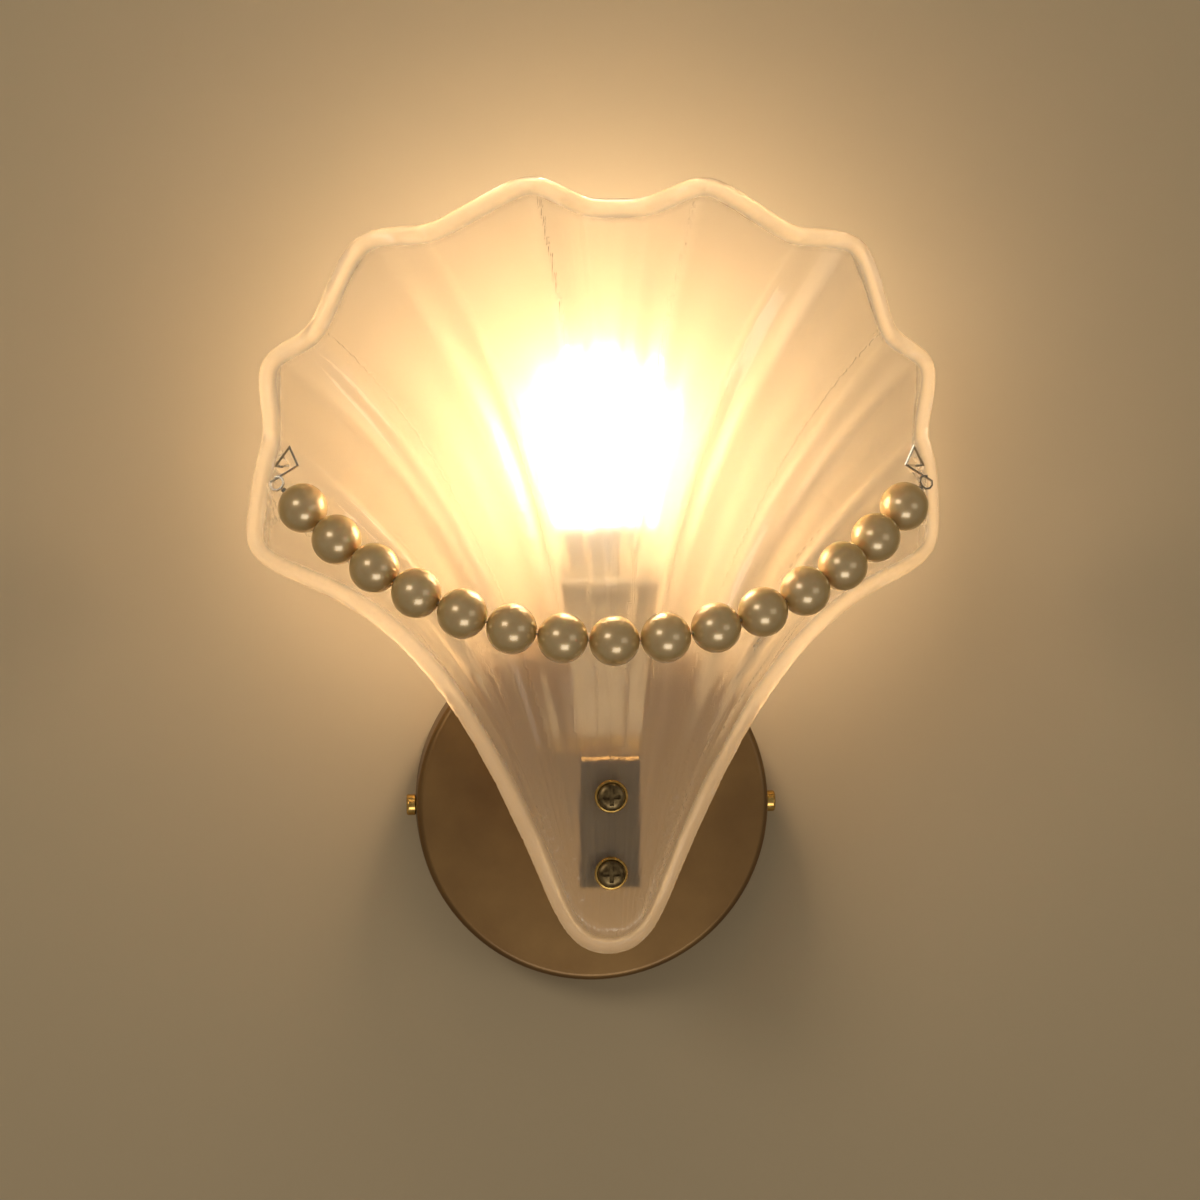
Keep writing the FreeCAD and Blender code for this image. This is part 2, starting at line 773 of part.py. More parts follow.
def sheet_point(left, right, share, row, back):
    """Control point on the front or back of the sheet."""
    start = station(left, row)
    end = station(right, row)
    rib = rib_number(left, right)
    outer = abs(right) > abs(left)
    inside = share if outer or rib == 0 else 1 - share
    x = start[0] + (end[0] - start[0]) * share
    z = start[1] + (end[1] - start[1]) * share
    width = math.hypot(end[0] - start[0], end[1] - start[1])
    lift = 0.0
    if 1 <= rib <= 4:
        place_in = min(range(6), key=lambda index: abs(ACROSS[index] - inside))
        height = PROFILE[place_in] * width * size("rib_ratio")
        lift = height * smooth((row - 0.2) / 0.35) if not back else height * smooth((row - 0.3) / 0.35)
        swell = SWELL[rib - 1][place_in] * smooth((row - 0.6) / 0.4)
        normal_x = (end[1] - start[1]) / width
        normal_z = -(end[0] - start[0]) / width
        flip = 1 if normal_z > 0 or (abs(normal_z) < 0.3 and normal_x * x > 0) else -1
        if x * normal_x * flip < -0.1 * abs(x):
            flip = -flip
        x += flip * normal_x * swell * size("shell_half_width")
        z += flip * normal_z * swell * size("shell_half_width")
    if rib == 0:
        lift = -0.12 * width * (4 * share * (1 - share))
        if back:
            lift *= smooth((row - 0.3) / 0.35)
    point = Vector(x, glass_front(x, z) - lift, z)
    turned = 0.0
    if rib == 5:
        turned = inside * size("border_turn") * (1 - 0.6 * smooth(row))
    if row < 0:
        turned = max(turned, size("border_turn") * min(1.0, -row))
    if row > 1:
        turned = max(turned, size("border_turn") * 0.25)
    way = inward(x, z)
    point += way * turned
    if back:
        point += way * size("shell_thickness")
    return point


def net_surface(rows):
    """B-spline surface on a net of control points, at most cubic in both ways."""
    surface = Part.BSplineSurface()
    counts = (len(rows), len(rows[0]))
    degrees = [min(3, count - 1) for count in counts]
    knots = []
    mults = []
    for count, degree in zip(counts, degrees):
        inner = count - degree
        knots.append([index / inner for index in range(inner + 1)])
        mults.append([degree + 1] + [1] * (inner - 1) + [degree + 1])
    surface.buildFromPolesMultsKnots(
        rows, mults[0], mults[1], knots[0], knots[1], False, False, degrees[0], degrees[1]
    )
    return surface


def flute_lines(left, right, back):
    """Where a rib is divided into ruled flutes, as shares of its width."""
    rib = rib_number(left, right)
    if rib == 0:
        lines = (0.0, 0.5, 1.0)
    elif rib == 5:
        lines = (0.0, 0.5, 1.0)
    else:
        lines = (0.0, 0.17, 0.38, 0.64, 1.0)
        if abs(right) < abs(left):
            lines = tuple(1 - line for line in reversed(lines))
    return lines[::2] if back else lines


def strip(first, second):
    """Ruled face between two curves that share their knots."""
    surface = Part.BSplineSurface()
    surface.buildFromPolesMultsKnots(
        [first.getPoles(), second.getPoles()], [2, 2], first.getMultiplicities(),
        [0, 1], first.getKnots(), False, False, 1, first.Degree
    )
    return surface.toShape()


def triangle(*corners):
    return Part.Face(Part.makePolygon(list(corners) + [corners[0]]))


COLUMNS = [-6, -5, -4, -3, -2, -1, 1, 2, 3, 4, 5, 6]


def shares(left, right):
    rib = rib_number(left, right)
    if rib == 0:
        return (0.0, 0.25, 0.5, 0.75, 1.0)
    if rib == 5:
        return (0.0, 0.5, 1.0)
    if abs(right) > abs(left):
        return ACROSS
    return tuple(1 - share for share in reversed(ACROSS))


def end_faces(front, rear, end):
    """Flat faces that close the sheet's edge between its front and its back."""
    ahead = [curve.value(end) for curve in front]
    behind = [curve.value(end) for curve in rear]
    faces = []
    for index in range(len(behind) - 1):
        first, middle, last = ahead[2 * index:2 * index + 3]
        faces.append(triangle(first, middle, behind[index]))
        faces.append(triangle(middle, behind[index + 1], behind[index]))
        faces.append(triangle(middle, last, behind[index + 1]))
    return faces


def drill(radius, length, start):
    """Sixteen-sided tool along Y for a hole in the glass."""
    profile = [(0, 0), (radius, 0), (radius, length), (0, length)]
    return turned(profile, 16, FreeCAD.Placement(start, AXES["y"]))


def glass_shell():
    """Fluted sheet of cast glass with a turned border, made of ruled flutes."""
    faces = []
    for left, right in zip(COLUMNS, COLUMNS[1:]):
        across = shares(left, right)
        for rows in (ALONG, (-1.0, 0.0), (1.0, 2.0)):
            sides = []
            for back in (False, True):
                net = [[sheet_point(left, right, share, row, back) for row in rows] for share in across]
                surface = net_surface(net)
                curves = [surface.uIso(line) for line in flute_lines(left, right, back)]
                faces += [strip(first, second) for first, second in zip(curves, curves[1:])]
                sides.append(curves)
            front, rear = sides
            if rows != ALONG:
                faces += end_faces(front, rear, 0 if rows[0] < 0 else 1)
            if left == COLUMNS[0]:
                faces.append(strip(front[0], rear[0]))
            if right == COLUMNS[-1]:
                faces.append(strip(front[-1], rear[-1]))
    sheet = Part.makeShell(faces)
    sheet.sewShape()
    solid = Part.Solid(sheet.Shells[0] if sheet.ShapeType == "Compound" else sheet)
    if solid.Volume < 0:
        solid.reverse()
    tools = []
    deep = size("shell_thickness")
    for height in ("screw_upper_height", "screw_lower_height"):
        start = Vector(0, -size("shell_front") - 2 * deep, size(height))
        tools.append(drill(size("shell_hole_radius"), 6 * deep, start))
    for sign in (-1, 1):
        x = sign * hook_hole_x()
        z = size("hook_hole_height")
        start = Vector(x, glass_front(x, z) - 3 * deep, z)
        tools.append(drill(size("hook_hole_radius"), 8 * deep, start))
    feature(solid.cut(tools), "glass_shell")


# ------------------------------------------------------------ pearl strand

def strand_point(x):
    """Centre line of the strand where it lies across the ribs."""
    low = size("hook_hole_height") - size("strand_drop")
    z = low + size("strand_arc") - math.sqrt(size("strand_arc") ** 2 - x * x)
    beyond = abs(x) / size("shell_half_width")
    lift = size("strand_lift") + size("strand_side_lift") * beyond ** 3
    y = glass_front(x, z) - size("pearl_radius") - lift
    return Vector(x, y, z)


def pearl_centres():
    """Fifteen centres, one pitch apart along the strand, from left to right."""
    right = [strand_point(0)]
    while len(right) < 8:
        last = right[-1]
        low = last.x
        high = last.x + size("pearl_pitch")
        for _ in range(40):
            middle = (low + high) / 2
            if (strand_point(middle) - last).Length < size("pearl_pitch"):
                low = middle
            else:
                high = middle
        right.append(strand_point((low + high) / 2))
    left = [Vector(-point.x, point.y, point.z) for point in reversed(right[1:])]
    return left + right


def bore_ways():
    """Way of each pearl's bore, along the chord between its neighbours."""
    centres = pearl_centres()
    ways = []
    for index in range(len(centres)):
        before = centres[max(index - 1, 0)]
        after = centres[min(index + 1, len(centres) - 1)]
        ways.append((after - before).normalize())
    return ways


def pearls():
    """Bored pearls, each turned so that its bore follows the strand."""
    radius = size("pearl_radius")
    steps = 6
    edge = math.acos(size("pearl_bore") / radius)
    angles = [edge * (2 * index / steps - 1) for index in range(steps + 1)]
    profile = [(radius * math.cos(angle), radius * math.sin(angle)) for angle in angles]
    solids = []
    for centre, way in zip(pearl_centres(), bore_ways()):
        here = FreeCAD.Placement(centre, FreeCAD.Rotation(Vector(0, 0, 1), way))
        solids.append(turned(profile, 12, here, ring=True))
    feature(Part.makeCompound(solids), "pearls")


def rounded_path(points):
    """Wire of straight runs joined by tangent arcs."""
    count = len(points)
    corners = []
    for index in range(1, count - 1):
        before = points[index - 1] - points[index]
        after = points[index + 1] - points[index]
        reach = 0.45 * min(before.Length, after.Length)
        first = points[index] + before.normalize() * reach
        last = points[index] + after.normalize() * reach
        half = math.pi / 2 - before.getAngle(after) / 2
        radius = reach / math.tan(half)
        bisector = (before + after).normalize()
        middle = points[index] + bisector * (radius / math.cos(half) - radius)
        corners.append((first, middle, last, radius))
    edges = []
    start = points[0]
    for first, middle, last, radius in corners:
        edges.append(Part.LineSegment(start, first).toShape())
        edges.append(Part.Arc(first, middle, last).toShape())
        start = last
    edges.append(Part.LineSegment(start, points[-1]).toShape())
    return Part.Wire(edges), min(corner[3] for corner in corners)


def tube(points, radius, label):
    wire, least = rounded_path(points)
    way = (points[1] - points[0]).normalize()
    shape = wire.makePipeShell([section(points[0], way, radius)], True, False)
    expected = section_area(radius) * wire.Length
    print("%s least bend %.2f length %.2f volume ratio %.4f" % (label, least, wire.Length, shape.Volume / expected))
    return shape


def bent_wire(points, radius):
    """Stiff wire with sharp bends."""
    way = (points[1] - points[0]).normalize()
    return Part.makePolygon(points).makePipeShell([section(points[0], way, radius)], True, False, 1)


def thread_points():
    """Crossing of each two neighbouring bores' axes, and a point past each end pearl."""
    centres = pearl_centres()
    ways = bore_ways()
    points = []
    for index in range(len(centres) - 1):
        middle = (centres[index] + centres[index + 1]) * 0.5
        half = (centres[index + 1] - centres[index]).Length / 2
        first = centres[index] + ways[index] * half
        second = centres[index + 1] - ways[index + 1] * half
        points.append((first + second) * 0.5 if 0 < index < len(centres) - 2 else middle)
    past = size("pearl_radius") + 1.8
    return [centres[0] - ways[0] * past] + points + [centres[-1] + ways[-1] * past]


def pearl_thread():
    feature(tube(thread_points(), size("thread_radius"), "pearl thread"), "pearl_thread")


def end_beads():
    """Crimped metal ring beads at the two ends of the thread."""
    points = thread_points()
    solids = []
    for end, inner in ((points[0], points[1]), (points[-1], points[-2])):
        way = (end - inner).normalize()
        turn = FreeCAD.Rotation(Vector(0, 0, 1), way)
        bore = size("thread_radius") + 0.2
        profile = [(0.9, 0), (0.9, 1.2), (bore, 1.2), (bore, 0)]
        solids.append(turned(profile, 10, FreeCAD.Placement(end - way * 1.4, turn), ring=True))
    feature(Part.makeCompound(solids), "thread_end_beads")


def wire_hook(sign):
    """Bent wire: tail behind the glass, a four-cornered bow in front and a ring for the thread."""
    route = thread_points()
    end = route[-1]
    way = (route[-1] - route[-2]).normalize()
    x = hook_hole_x()
    z = size("hook_hole_height")
    face = glass_front(x, z)
    back = face + size("shell_thickness") + 1
    radius = size("hook_ring_radius")
    centre = end + way * (radius + size("wire_radius") + size("seat_gap"))
    across = way.cross(Vector(0, 1, 0)).normalize()
    ring = []
    for index in range(9):
        angle = math.radians(-150 + 37.5 * index)
        step = way * (-math.cos(angle) * radius) + across * (math.sin(angle) * radius)
        ring.append(centre + step)
    depth = centre.y
    points = [
        Vector(x - 11, back - 4.5, z + 2.6),
        Vector(x - 10, back - 4.5, z + 0.5),
        Vector(x, back, z),
        Vector(x, face - 8, z),
        Vector(x + 2.2, face - 9, z + 0.3),
        Vector(x - 2.4, depth + 0.5, z + 6.4),
        Vector(x - 5, depth + 0.5, z + 0.5),
    ] + ring
    points = [Vector(sign * point.x, point.y, point.z) for point in points]
    return bent_wire(points, size("wire_radius"))


def strand_hooks():
    feature(Part.makeCompound([wire_hook(-1), wire_hook(1)]), "strand_hooks")


# ------------------------------------------------------------ build

def build_all():
    wall_canopy()
    mounting_crossbar()
    side_knob_screw(-1, "side_screw_left")
    side_knob_screw(1, "side_screw_right")
    earth_screw()
    terminal_block()
    canopy_grommet()
    shell_bracket()
    foot_fasteners()
    shell_fasteners()
    lampholder()
    bulb()
    lamp_cord()
    glass_shell()
    pearls()
    pearl_thread()
    end_beads()
    strand_hooks()


def check_and_write():
    doc.recompute()
    for item in doc.Objects:
        bad = [word for word in item.State if word in ("Invalid", "Error")]
        if bad:
            raise RuntimeError("%s (%s) is %s" % (item.Label, item.Name, bad))
    for item in PIECES:
        shape = item.Shape
        if shape.isNull() or not shape.isValid() or not shape.Solids:
            raise RuntimeError("%s has no valid solid" % item.Label)
        shape.exportStep("parts/%s.step" % item.Label)
        print("%s solids %d volume %.1f" % (item.Label, len(shape.Solids), shape.Volume))


build_all()
check_and_write()
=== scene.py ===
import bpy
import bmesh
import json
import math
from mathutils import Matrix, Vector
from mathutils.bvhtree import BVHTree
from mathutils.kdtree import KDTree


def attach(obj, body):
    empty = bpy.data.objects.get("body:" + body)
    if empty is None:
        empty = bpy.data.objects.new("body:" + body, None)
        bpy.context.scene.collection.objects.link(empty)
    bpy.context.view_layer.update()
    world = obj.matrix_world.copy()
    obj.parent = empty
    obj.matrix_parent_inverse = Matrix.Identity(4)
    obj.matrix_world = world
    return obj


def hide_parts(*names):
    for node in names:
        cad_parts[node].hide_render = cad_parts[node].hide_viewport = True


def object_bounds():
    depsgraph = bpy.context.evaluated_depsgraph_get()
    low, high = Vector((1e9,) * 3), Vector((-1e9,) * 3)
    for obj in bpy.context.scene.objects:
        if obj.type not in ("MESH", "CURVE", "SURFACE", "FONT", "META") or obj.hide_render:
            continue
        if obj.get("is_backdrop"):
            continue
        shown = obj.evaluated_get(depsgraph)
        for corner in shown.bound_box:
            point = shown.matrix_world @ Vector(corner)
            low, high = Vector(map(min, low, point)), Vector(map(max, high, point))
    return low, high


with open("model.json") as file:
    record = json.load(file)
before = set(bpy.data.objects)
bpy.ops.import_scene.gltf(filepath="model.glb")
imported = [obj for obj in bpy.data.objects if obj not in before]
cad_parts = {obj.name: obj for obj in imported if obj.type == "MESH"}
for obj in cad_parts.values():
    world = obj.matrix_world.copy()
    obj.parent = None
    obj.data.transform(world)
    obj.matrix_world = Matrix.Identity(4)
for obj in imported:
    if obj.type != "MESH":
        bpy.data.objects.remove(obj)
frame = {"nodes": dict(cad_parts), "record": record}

# %% [markdown]
# # A shell wall light with a string of pearls
# The solids of this wall light come in from the frame, at their real size in
# metres: +X to the right, +Y into the wall, +Z up, with the origin at the
# centre of the canopy's back. This lesson gives each of them its looks. The
# smooth pieces, such as the cast glass, the pearls and the opal bulb, are made
# again with rounder surfaces in the same place, and the rest keep their CAD
# shape and get a better finish.

MM = 0.001
FULL_TURN = 2 * math.pi
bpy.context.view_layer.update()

# %% [markdown]
# ## Colour and nodes
# Every colour is written as a hex value, the way a paint maker gives it, and
# one function turns it into the linear numbers that the shaders want. A second
# small function adds a node, sets it up and links it, so a material reads as a
# short list of what it does.


# %% Helpers for colour and nodes
def linear(code):
    """Linear RGBA from an sRGB hex colour."""
    parts = [int(code[i:i + 2], 16) / 255 for i in (1, 3, 5)]
    return tuple(c / 12.92 if c <= 0.04045 else ((c + 0.055) / 1.055) ** 2.4 for c in parts) + (1.0,)


def plug(tree, node, **inputs):
    """Sets or links a node's sockets, by name, or by number as i0, i1."""
    for name, value in inputs.items():
        number = name[1:]
        socket = node.inputs[int(number)] if number.isdigit() else node.inputs[name.replace("_", " ")]
        if isinstance(value, bpy.types.NodeSocket):
            tree.links.new(value, socket)
        else:
            socket.default_value = value


def add(tree, kind, settings=None, stops=(), **inputs):
    """A new node with its settings, its (place, colour) stops, values and links."""
    node = tree.nodes.new(kind)
    for name, value in (settings or {}).items():
        setattr(node, name, value)
    if stops:
        marks = node.color_ramp.elements
        while len(marks) < len(stops):
            marks.new(0.5)
        for mark, (place, code) in zip(marks, stops):
            mark.position = place
            mark.color = linear(code)
    plug(tree, node, **inputs)
    return node


def finish_of(name, color, **values):
    """A material with one Principled shader, and the points of its object."""
    material = bpy.data.materials.new(name)
    material.use_nodes = True
    tree = material.node_tree
    tree.nodes.clear()
    shader = add(tree, "ShaderNodeBsdfPrincipled", Base_Color=linear(color), **values)
    add(tree, "ShaderNodeOutputMaterial", Surface=shader.outputs[0])
    points = add(tree, "ShaderNodeTexCoord").outputs["Object"]
    return material, tree, shader, points


# %% [markdown]
# ## The metals
# The canopy is steel with a satin bronze paint: it has metal flakes under a
# dull clear coat, so it glows softly and never mirrors. The bracket, whose end
# is the tab behind the glass, is brushed steel with a grain that runs up and
# down. The screws are tarnished brass and sit in yellow brass cup washers.
# What hides inside the canopy is plain zinc plated steel.

# %% Painted, plated and brushed steel
bronze, tree, shader, points = finish_of(
    "satin_bronze_paint", "#7A5A30", Metallic=0.85, Roughness=0.42, Coat_Weight=0.15,
)
# Flakes of about 1 mm, drawn coarser than real so that they show.
flakes = add(tree, "ShaderNodeTexNoise", Vector=points, Scale=900.0, Detail=2.0)
cloud = add(tree, "ShaderNodeTexNoise", Vector=points, Scale=35.0, Detail=4.0)
tone = add(tree, "ShaderNodeValToRGB", stops=((0.3, "#6F5230"), (0.7, "#84653C")), Fac=cloud.outputs["Fac"])
rough = add(tree, "ShaderNodeMapRange", Value=flakes.outputs["Fac"], To_Min=0.36, To_Max=0.5)
relief = add(tree, "ShaderNodeBump", Strength=0.5, Distance=0.00003, Height=flakes.outputs["Fac"])
plug(tree, shader, Base_Color=tone.outputs[0], Roughness=rough.outputs[0], Normal=relief.outputs[0])

zinc, tree, shader, points = finish_of("zinc_plated_steel", "#B9BCC0", Metallic=1.0, Roughness=0.35)
# Spangles of about 5 mm, the crystals that zinc forms as it cools.
spangle = add(tree, "ShaderNodeTexVoronoi", Vector=points, Scale=220.0)
distance = spangle.outputs["Distance"]
tone = add(tree, "ShaderNodeValToRGB", stops=((0.0, "#A9ADB2"), (1.0, "#C6C8CB")), Fac=distance)
plug(tree, shader, Base_Color=tone.outputs[0])

brushed, tree, shader, points = finish_of("brushed_steel", "#82693F", Metallic=1.0, Roughness=0.38)
# Brush marks 0.3 mm wide and about 30 mm long, up and down the tab.
strokes = add(tree, "ShaderNodeMapping", Vector=points, Scale=(3200.0, 3200.0, 30.0))
grain = add(tree, "ShaderNodeTexNoise", Vector=strokes.outputs[0], Scale=1.0, Detail=2.0)
tone = add(tree, "ShaderNodeValToRGB", stops=((0.25, "#66512F"), (0.75, "#9F8254")), Fac=grain.outputs["Fac"])
rough = add(tree, "ShaderNodeMapRange", Value=grain.outputs["Fac"], To_Min=0.28, To_Max=0.5)
relief = add(tree, "ShaderNodeBump", Strength=0.6, Distance=0.00002, Height=grain.outputs["Fac"])
plug(tree, shader, Base_Color=tone.outputs[0], Roughness=rough.outputs[0], Normal=relief.outputs[0])
print("steels", bronze.name, zinc.name, brushed.name)


# %% Bare metals that wear
def worn_metal(name, color, roughness, low, high, scale, detail=3.0, stops=()):
    """A bare metal whose gloss, and colour where it has stops, follow its wear."""
    material, tree, shader, points = finish_of(name, color, Metallic=1.0, Roughness=roughness)
    wear = add(tree, "ShaderNodeTexNoise", Vector=points, Scale=scale, Detail=detail).outputs["Fac"]
    rough = add(tree, "ShaderNodeMapRange", Value=wear, To_Min=low, To_Max=high)
    plug(tree, shader, Roughness=rough.outputs[0])
    if stops:
        plug(tree, shader, Base_Color=add(tree, "ShaderNodeValToRGB", stops=stops, Fac=wear).outputs[0])
    return material


nickel = worn_metal("nickel_plated_steel", "#A79E90", 0.18, 0.12, 0.3, 700.0)
tarnished = worn_metal(
    "tarnished_brass_screw", "#6A5638", 0.34, 0.26, 0.45, 600.0, 4.0, ((0.3, "#4E3E28"), (0.7, "#83704E")),
)
brass = worn_metal(
    "polished_brass", "#C9A25A", 0.2, 0.15, 0.32, 500.0, stops=((0.3, "#B98F48"), (0.7, "#D6B268")),
)
cap_metal = worn_metal("plated_brass_cap", "#BFC0BE", 0.3, 0.22, 0.4, 400.0)
wire = worn_metal("steel_wire", "#B4AFA6", 0.22, 0.16, 0.32, 2500.0, 2.0)

# %% [markdown]
# ## Plastics, rubber and thread
# The lampholder and the terminal block are moulded in cream thermoset plastic,
# the bulb's neck in white nylon, and the bush in the canopy is black rubber.
# Moulded skin is never quite even, so each gets a slight mottle in its
# roughness and a very fine bump.


# %% Plastics
def moulded(name, color, roughness, scale=500.0, depth=0.00002):
    """A moulded skin with a mottled gloss."""
    material, tree, shader, points = finish_of(name, color, Roughness=roughness)
    skin = add(tree, "ShaderNodeTexNoise", Vector=points, Scale=scale, Detail=3.0).outputs["Fac"]
    rough = add(tree, "ShaderNodeMapRange", Value=skin, To_Min=roughness - 0.07, To_Max=roughness + 0.1)
    relief = add(tree, "ShaderNodeBump", Strength=0.4, Distance=depth, Height=skin)
    plug(tree, shader, Roughness=rough.outputs[0], Normal=relief.outputs[0])
    return material


cream_plastic = moulded("moulded_thermoset_cream", "#D9CDB4", 0.4)
white_plastic = moulded("moulded_nylon_white", "#E9E6DF", 0.35)
rubber = moulded("moulded_rubber_black", "#1C1B1A", 0.65, 900.0, 0.00004)
cord_skin = moulded("extruded_pvc_cream", "#D8CFC0", 0.45)

thread_skin, tree, shader, points = finish_of("twisted_nylon_thread", "#E6DCC4", Roughness=0.6, Sheen_Weight=0.3)
# The twist repeats about every 2.4 mm, coarser than real so that it shows.
twist = add(tree, "ShaderNodeTexWave", {"bands_direction": "DIAGONAL"}, Vector=points, Scale=260.0)
relief = add(tree, "ShaderNodeBump", Strength=0.7, Distance=0.00005, Height=twist.outputs["Fac"])
plug(tree, shader, Normal=relief.outputs[0])

# %% [markdown]
# ## Frosted glass
# The shell is cast soda-lime glass about 4.5 mm thick. Its back is etched with
# acid and its front is left as it was cast, with a soft shine. Etched glass
# lets nearly all light through but scatters it, so the bulb turns into a soft
# glow. A Principled shader that is nearly all transmission, with a rough back,
# does the scattering. The small share that is left is subsurface, which gives
# the sheet and its bead their milky body.

# %% Glass of the shell
frosted, tree, shader, points = finish_of(
    "acid_etched_cast_glass", "#F7F3EC", Roughness=0.3, IOR=1.5, Transmission_Weight=0.95,
    Subsurface_Weight=1.0, Subsurface_Scale=0.01, Subsurface_Radius=(1.0, 0.95, 0.85),
    Emission_Color=linear("#FFC67E"),
)
# Painted glow: the weak warm emission stands in for the bulb's light that runs
# inside the sheet. It is painted where the back is etched and on the bead, and
# left off where the tab lies against the glass, which paints the tab's shade.
painted_glow = add(tree, "ShaderNodeAttribute", {"attribute_name": "painted_glow_level"}).outputs["Fac"]
# The roughness follows the mesh attribute that says how far a point is on the
# etched back. A second attribute gives the way in from the edge, in
# centimetres, because the bead is a little milky and polished by the flame.
etched = add(tree, "ShaderNodeAttribute", {"attribute_name": "etched"}).outputs["Fac"]
inward = add(tree, "ShaderNodeAttribute", {"attribute_name": "from_edge"}).outputs["Fac"]
mottle = add(tree, "ShaderNodeTexNoise", Vector=points, Scale=120.0, Detail=6.0).outputs["Fac"]
cloudy = add(tree, "ShaderNodeMapRange", Value=etched, To_Min=0.07, To_Max=0.34)
in_sheet = add(tree, "ShaderNodeMapRange", Value=inward, From_Min=0.48, From_Max=0.7).outputs[0]
polished = add(tree, "ShaderNodeMix", Factor=in_sheet, A=0.14, B=cloudy.outputs[0])
rough = add(tree, "ShaderNodeMath", {"operation": "MULTIPLY_ADD"}, i0=mottle, i1=0.06, i2=polished.outputs[0])
clear = add(
    tree, "ShaderNodeMapRange", Value=inward, From_Min=0.3, From_Max=0.8, To_Min=0.78, To_Max=0.95,
)
# A third attribute counts the flutes across the shell, and its cosine draws
# three of the fine lines that the mould leaves along each of them.
flute = add(tree, "ShaderNodeAttribute", {"attribute_name": "flute"}).outputs["Fac"]
turns = add(tree, "ShaderNodeMath", {"operation": "MULTIPLY"}, i0=flute, i1=3 * FULL_TURN)
lines = add(tree, "ShaderNodeMath", {"operation": "COSINE"}, i0=turns.outputs[0])
drawn = add(tree, "ShaderNodeMath", {"operation": "MULTIPLY"}, i0=lines.outputs[0], i1=in_sheet)
height = add(tree, "ShaderNodeMath", {"operation": "MULTIPLY_ADD"}, i0=drawn.outputs[0], i1=0.8, i2=mottle)
relief = add(tree, "ShaderNodeBump", Strength=0.6, Distance=0.00008, Height=height.outputs[0])
plug(
    tree, shader, Emission_Strength=painted_glow, Roughness=rough.outputs[0],
    Transmission_Weight=clear.outputs[0], Normal=relief.outputs[0],
)

# %% Glass of the bulb
opal, tree, shader, points = finish_of(
    "lit_opal_glass", "#FFF3DC", Roughness=0.3, Emission_Color=linear("#FFDCAA"), Emission_Strength=37.0,
)
thick = add(tree, "ShaderNodeTexNoise", Vector=points, Scale=40.0, Detail=2.0)
glow = add(tree, "ShaderNodeValToRGB", stops=((0.3, "#FFDDB6"), (0.7, "#FFE7CA")), Fac=thick.outputs["Fac"])
plug(tree, shader, Emission_Color=glow.outputs[0])

# %% [markdown]
# ## Pearls
# These are imitation pearls: glass or plastic beads dipped many times in a
# lacquer with fine mica. The mica gives a deep, creamy glow with a hard shine
# on top. A little metal in the base, a full clear coat and a colour that
# shifts from cream to olive where the bead turns away give that look.

# %% Pearl lacquer
pearl, tree, shader, points = finish_of(
    "pearl_lacquer", "#C4AD7C", Metallic=0.35, Roughness=0.3, Coat_Weight=1.0, Coat_Roughness=0.05,
    Subsurface_Weight=0.15, Subsurface_Scale=0.003,
)
facing = add(tree, "ShaderNodeLayerWeight", Blend=0.35).outputs["Facing"]
tone = add(
    tree, "ShaderNodeValToRGB", stops=((0.0, "#DCC092"), (0.55, "#D2B474"), (1.0, "#C8AC5C")), Fac=facing,
)
mica = add(tree, "ShaderNodeTexNoise", Vector=points, Scale=260.0, Detail=4.0)
tint = add(tree, "ShaderNodeValToRGB", stops=((0.35, "#F2EAD8"), (0.65, "#FFFFFF")), Fac=mica.outputs["Fac"])
# On a colour Mix node, input 0 is the factor and 6 and 7 are the two colours.
mixed = add(
    tree, "ShaderNodeMix", {"data_type": "RGBA", "blend_type": "MULTIPLY"},
    i0=0.6, i6=tone.outputs[0], i7=tint.outputs[0],
)
plug(tree, shader, Base_Color=mixed.outputs[2])

# %% Finish of each CAD slot
SLOTS = {
    "bronze_metal": bronze, "zinc_steel": zinc, "bright_steel": nickel, "dark_steel": nickel,
    "brushed_steel": brushed, "gold_brass": brass, "cream_plastic": cream_plastic,
    "white_plastic": white_plastic, "black_rubber": rubber, "cord_plastic": cord_skin,
    "frosted_glass": frosted, "opal_glass": opal, "bulb_cap_metal": cap_metal, "pearl": pearl,
    "thread_fabric": thread_skin, "hook_wire": wire,
}
subparts = frame["record"]["subparts"]
for part in subparts:
    for slot in frame["nodes"][part["node"]].material_slots:
        slot.material = SLOTS[part["material_slot"]]
print("finished", len(subparts), "CAD nodes")

# %% [markdown]
# ## Making turned pieces
# Canopy, washers, screws, bulb and lampholder are all round. On a lathe the
# tool follows a profile while the piece turns, and the spin operator does the
# same: a few vertices give the profile and spin carries them round the axis.


# %% Meshes, objects and pieces
def placed(name, data):
    """A new object in the scene that shows a mesh, a curve or a lamp."""
    made = bpy.data.objects.new(name, data)
    bpy.context.scene.collection.objects.link(made)
    return made


def mesh_of(work, name):
    """The mesh that a bmesh has become."""
    mesh = bpy.data.meshes.new(name)
    work.to_mesh(mesh)
    work.free()
    return mesh


def done(work, name, smooth=True):
    """Merges doubles, turns the faces outwards and gives the mesh."""
    bmesh.ops.remove_doubles(work, verts=work.verts, dist=0.000002)
    bmesh.ops.recalc_face_normals(work, faces=work.faces)
    for face in work.faces:
        face.smooth = smooth
    return mesh_of(work, name)


def baked(made):
    """The mesh of an object as its modifiers leave it. The object goes."""
    mesh = bpy.data.meshes.new_from_object(made.evaluated_get(bpy.context.evaluated_depsgraph_get()))
    bpy.data.objects.remove(made)
    return mesh


def piece(name, mesh, body, material, slot, *nodes):
    """A finished mesh as a piece that rides on a body and replaces CAD nodes."""
    made = placed(name, mesh)
    mesh.materials.clear()
    mesh.materials.append(material)
    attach(made, body)
    if nodes:
        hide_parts(*nodes)
    print(name, len(mesh.polygons), "faces")
    return made


def sharp(made, angle=35):
    """Keeps the corners crisp on a smooth shaded piece."""
    made.data.set_sharp_from_angle(angle=math.radians(angle))


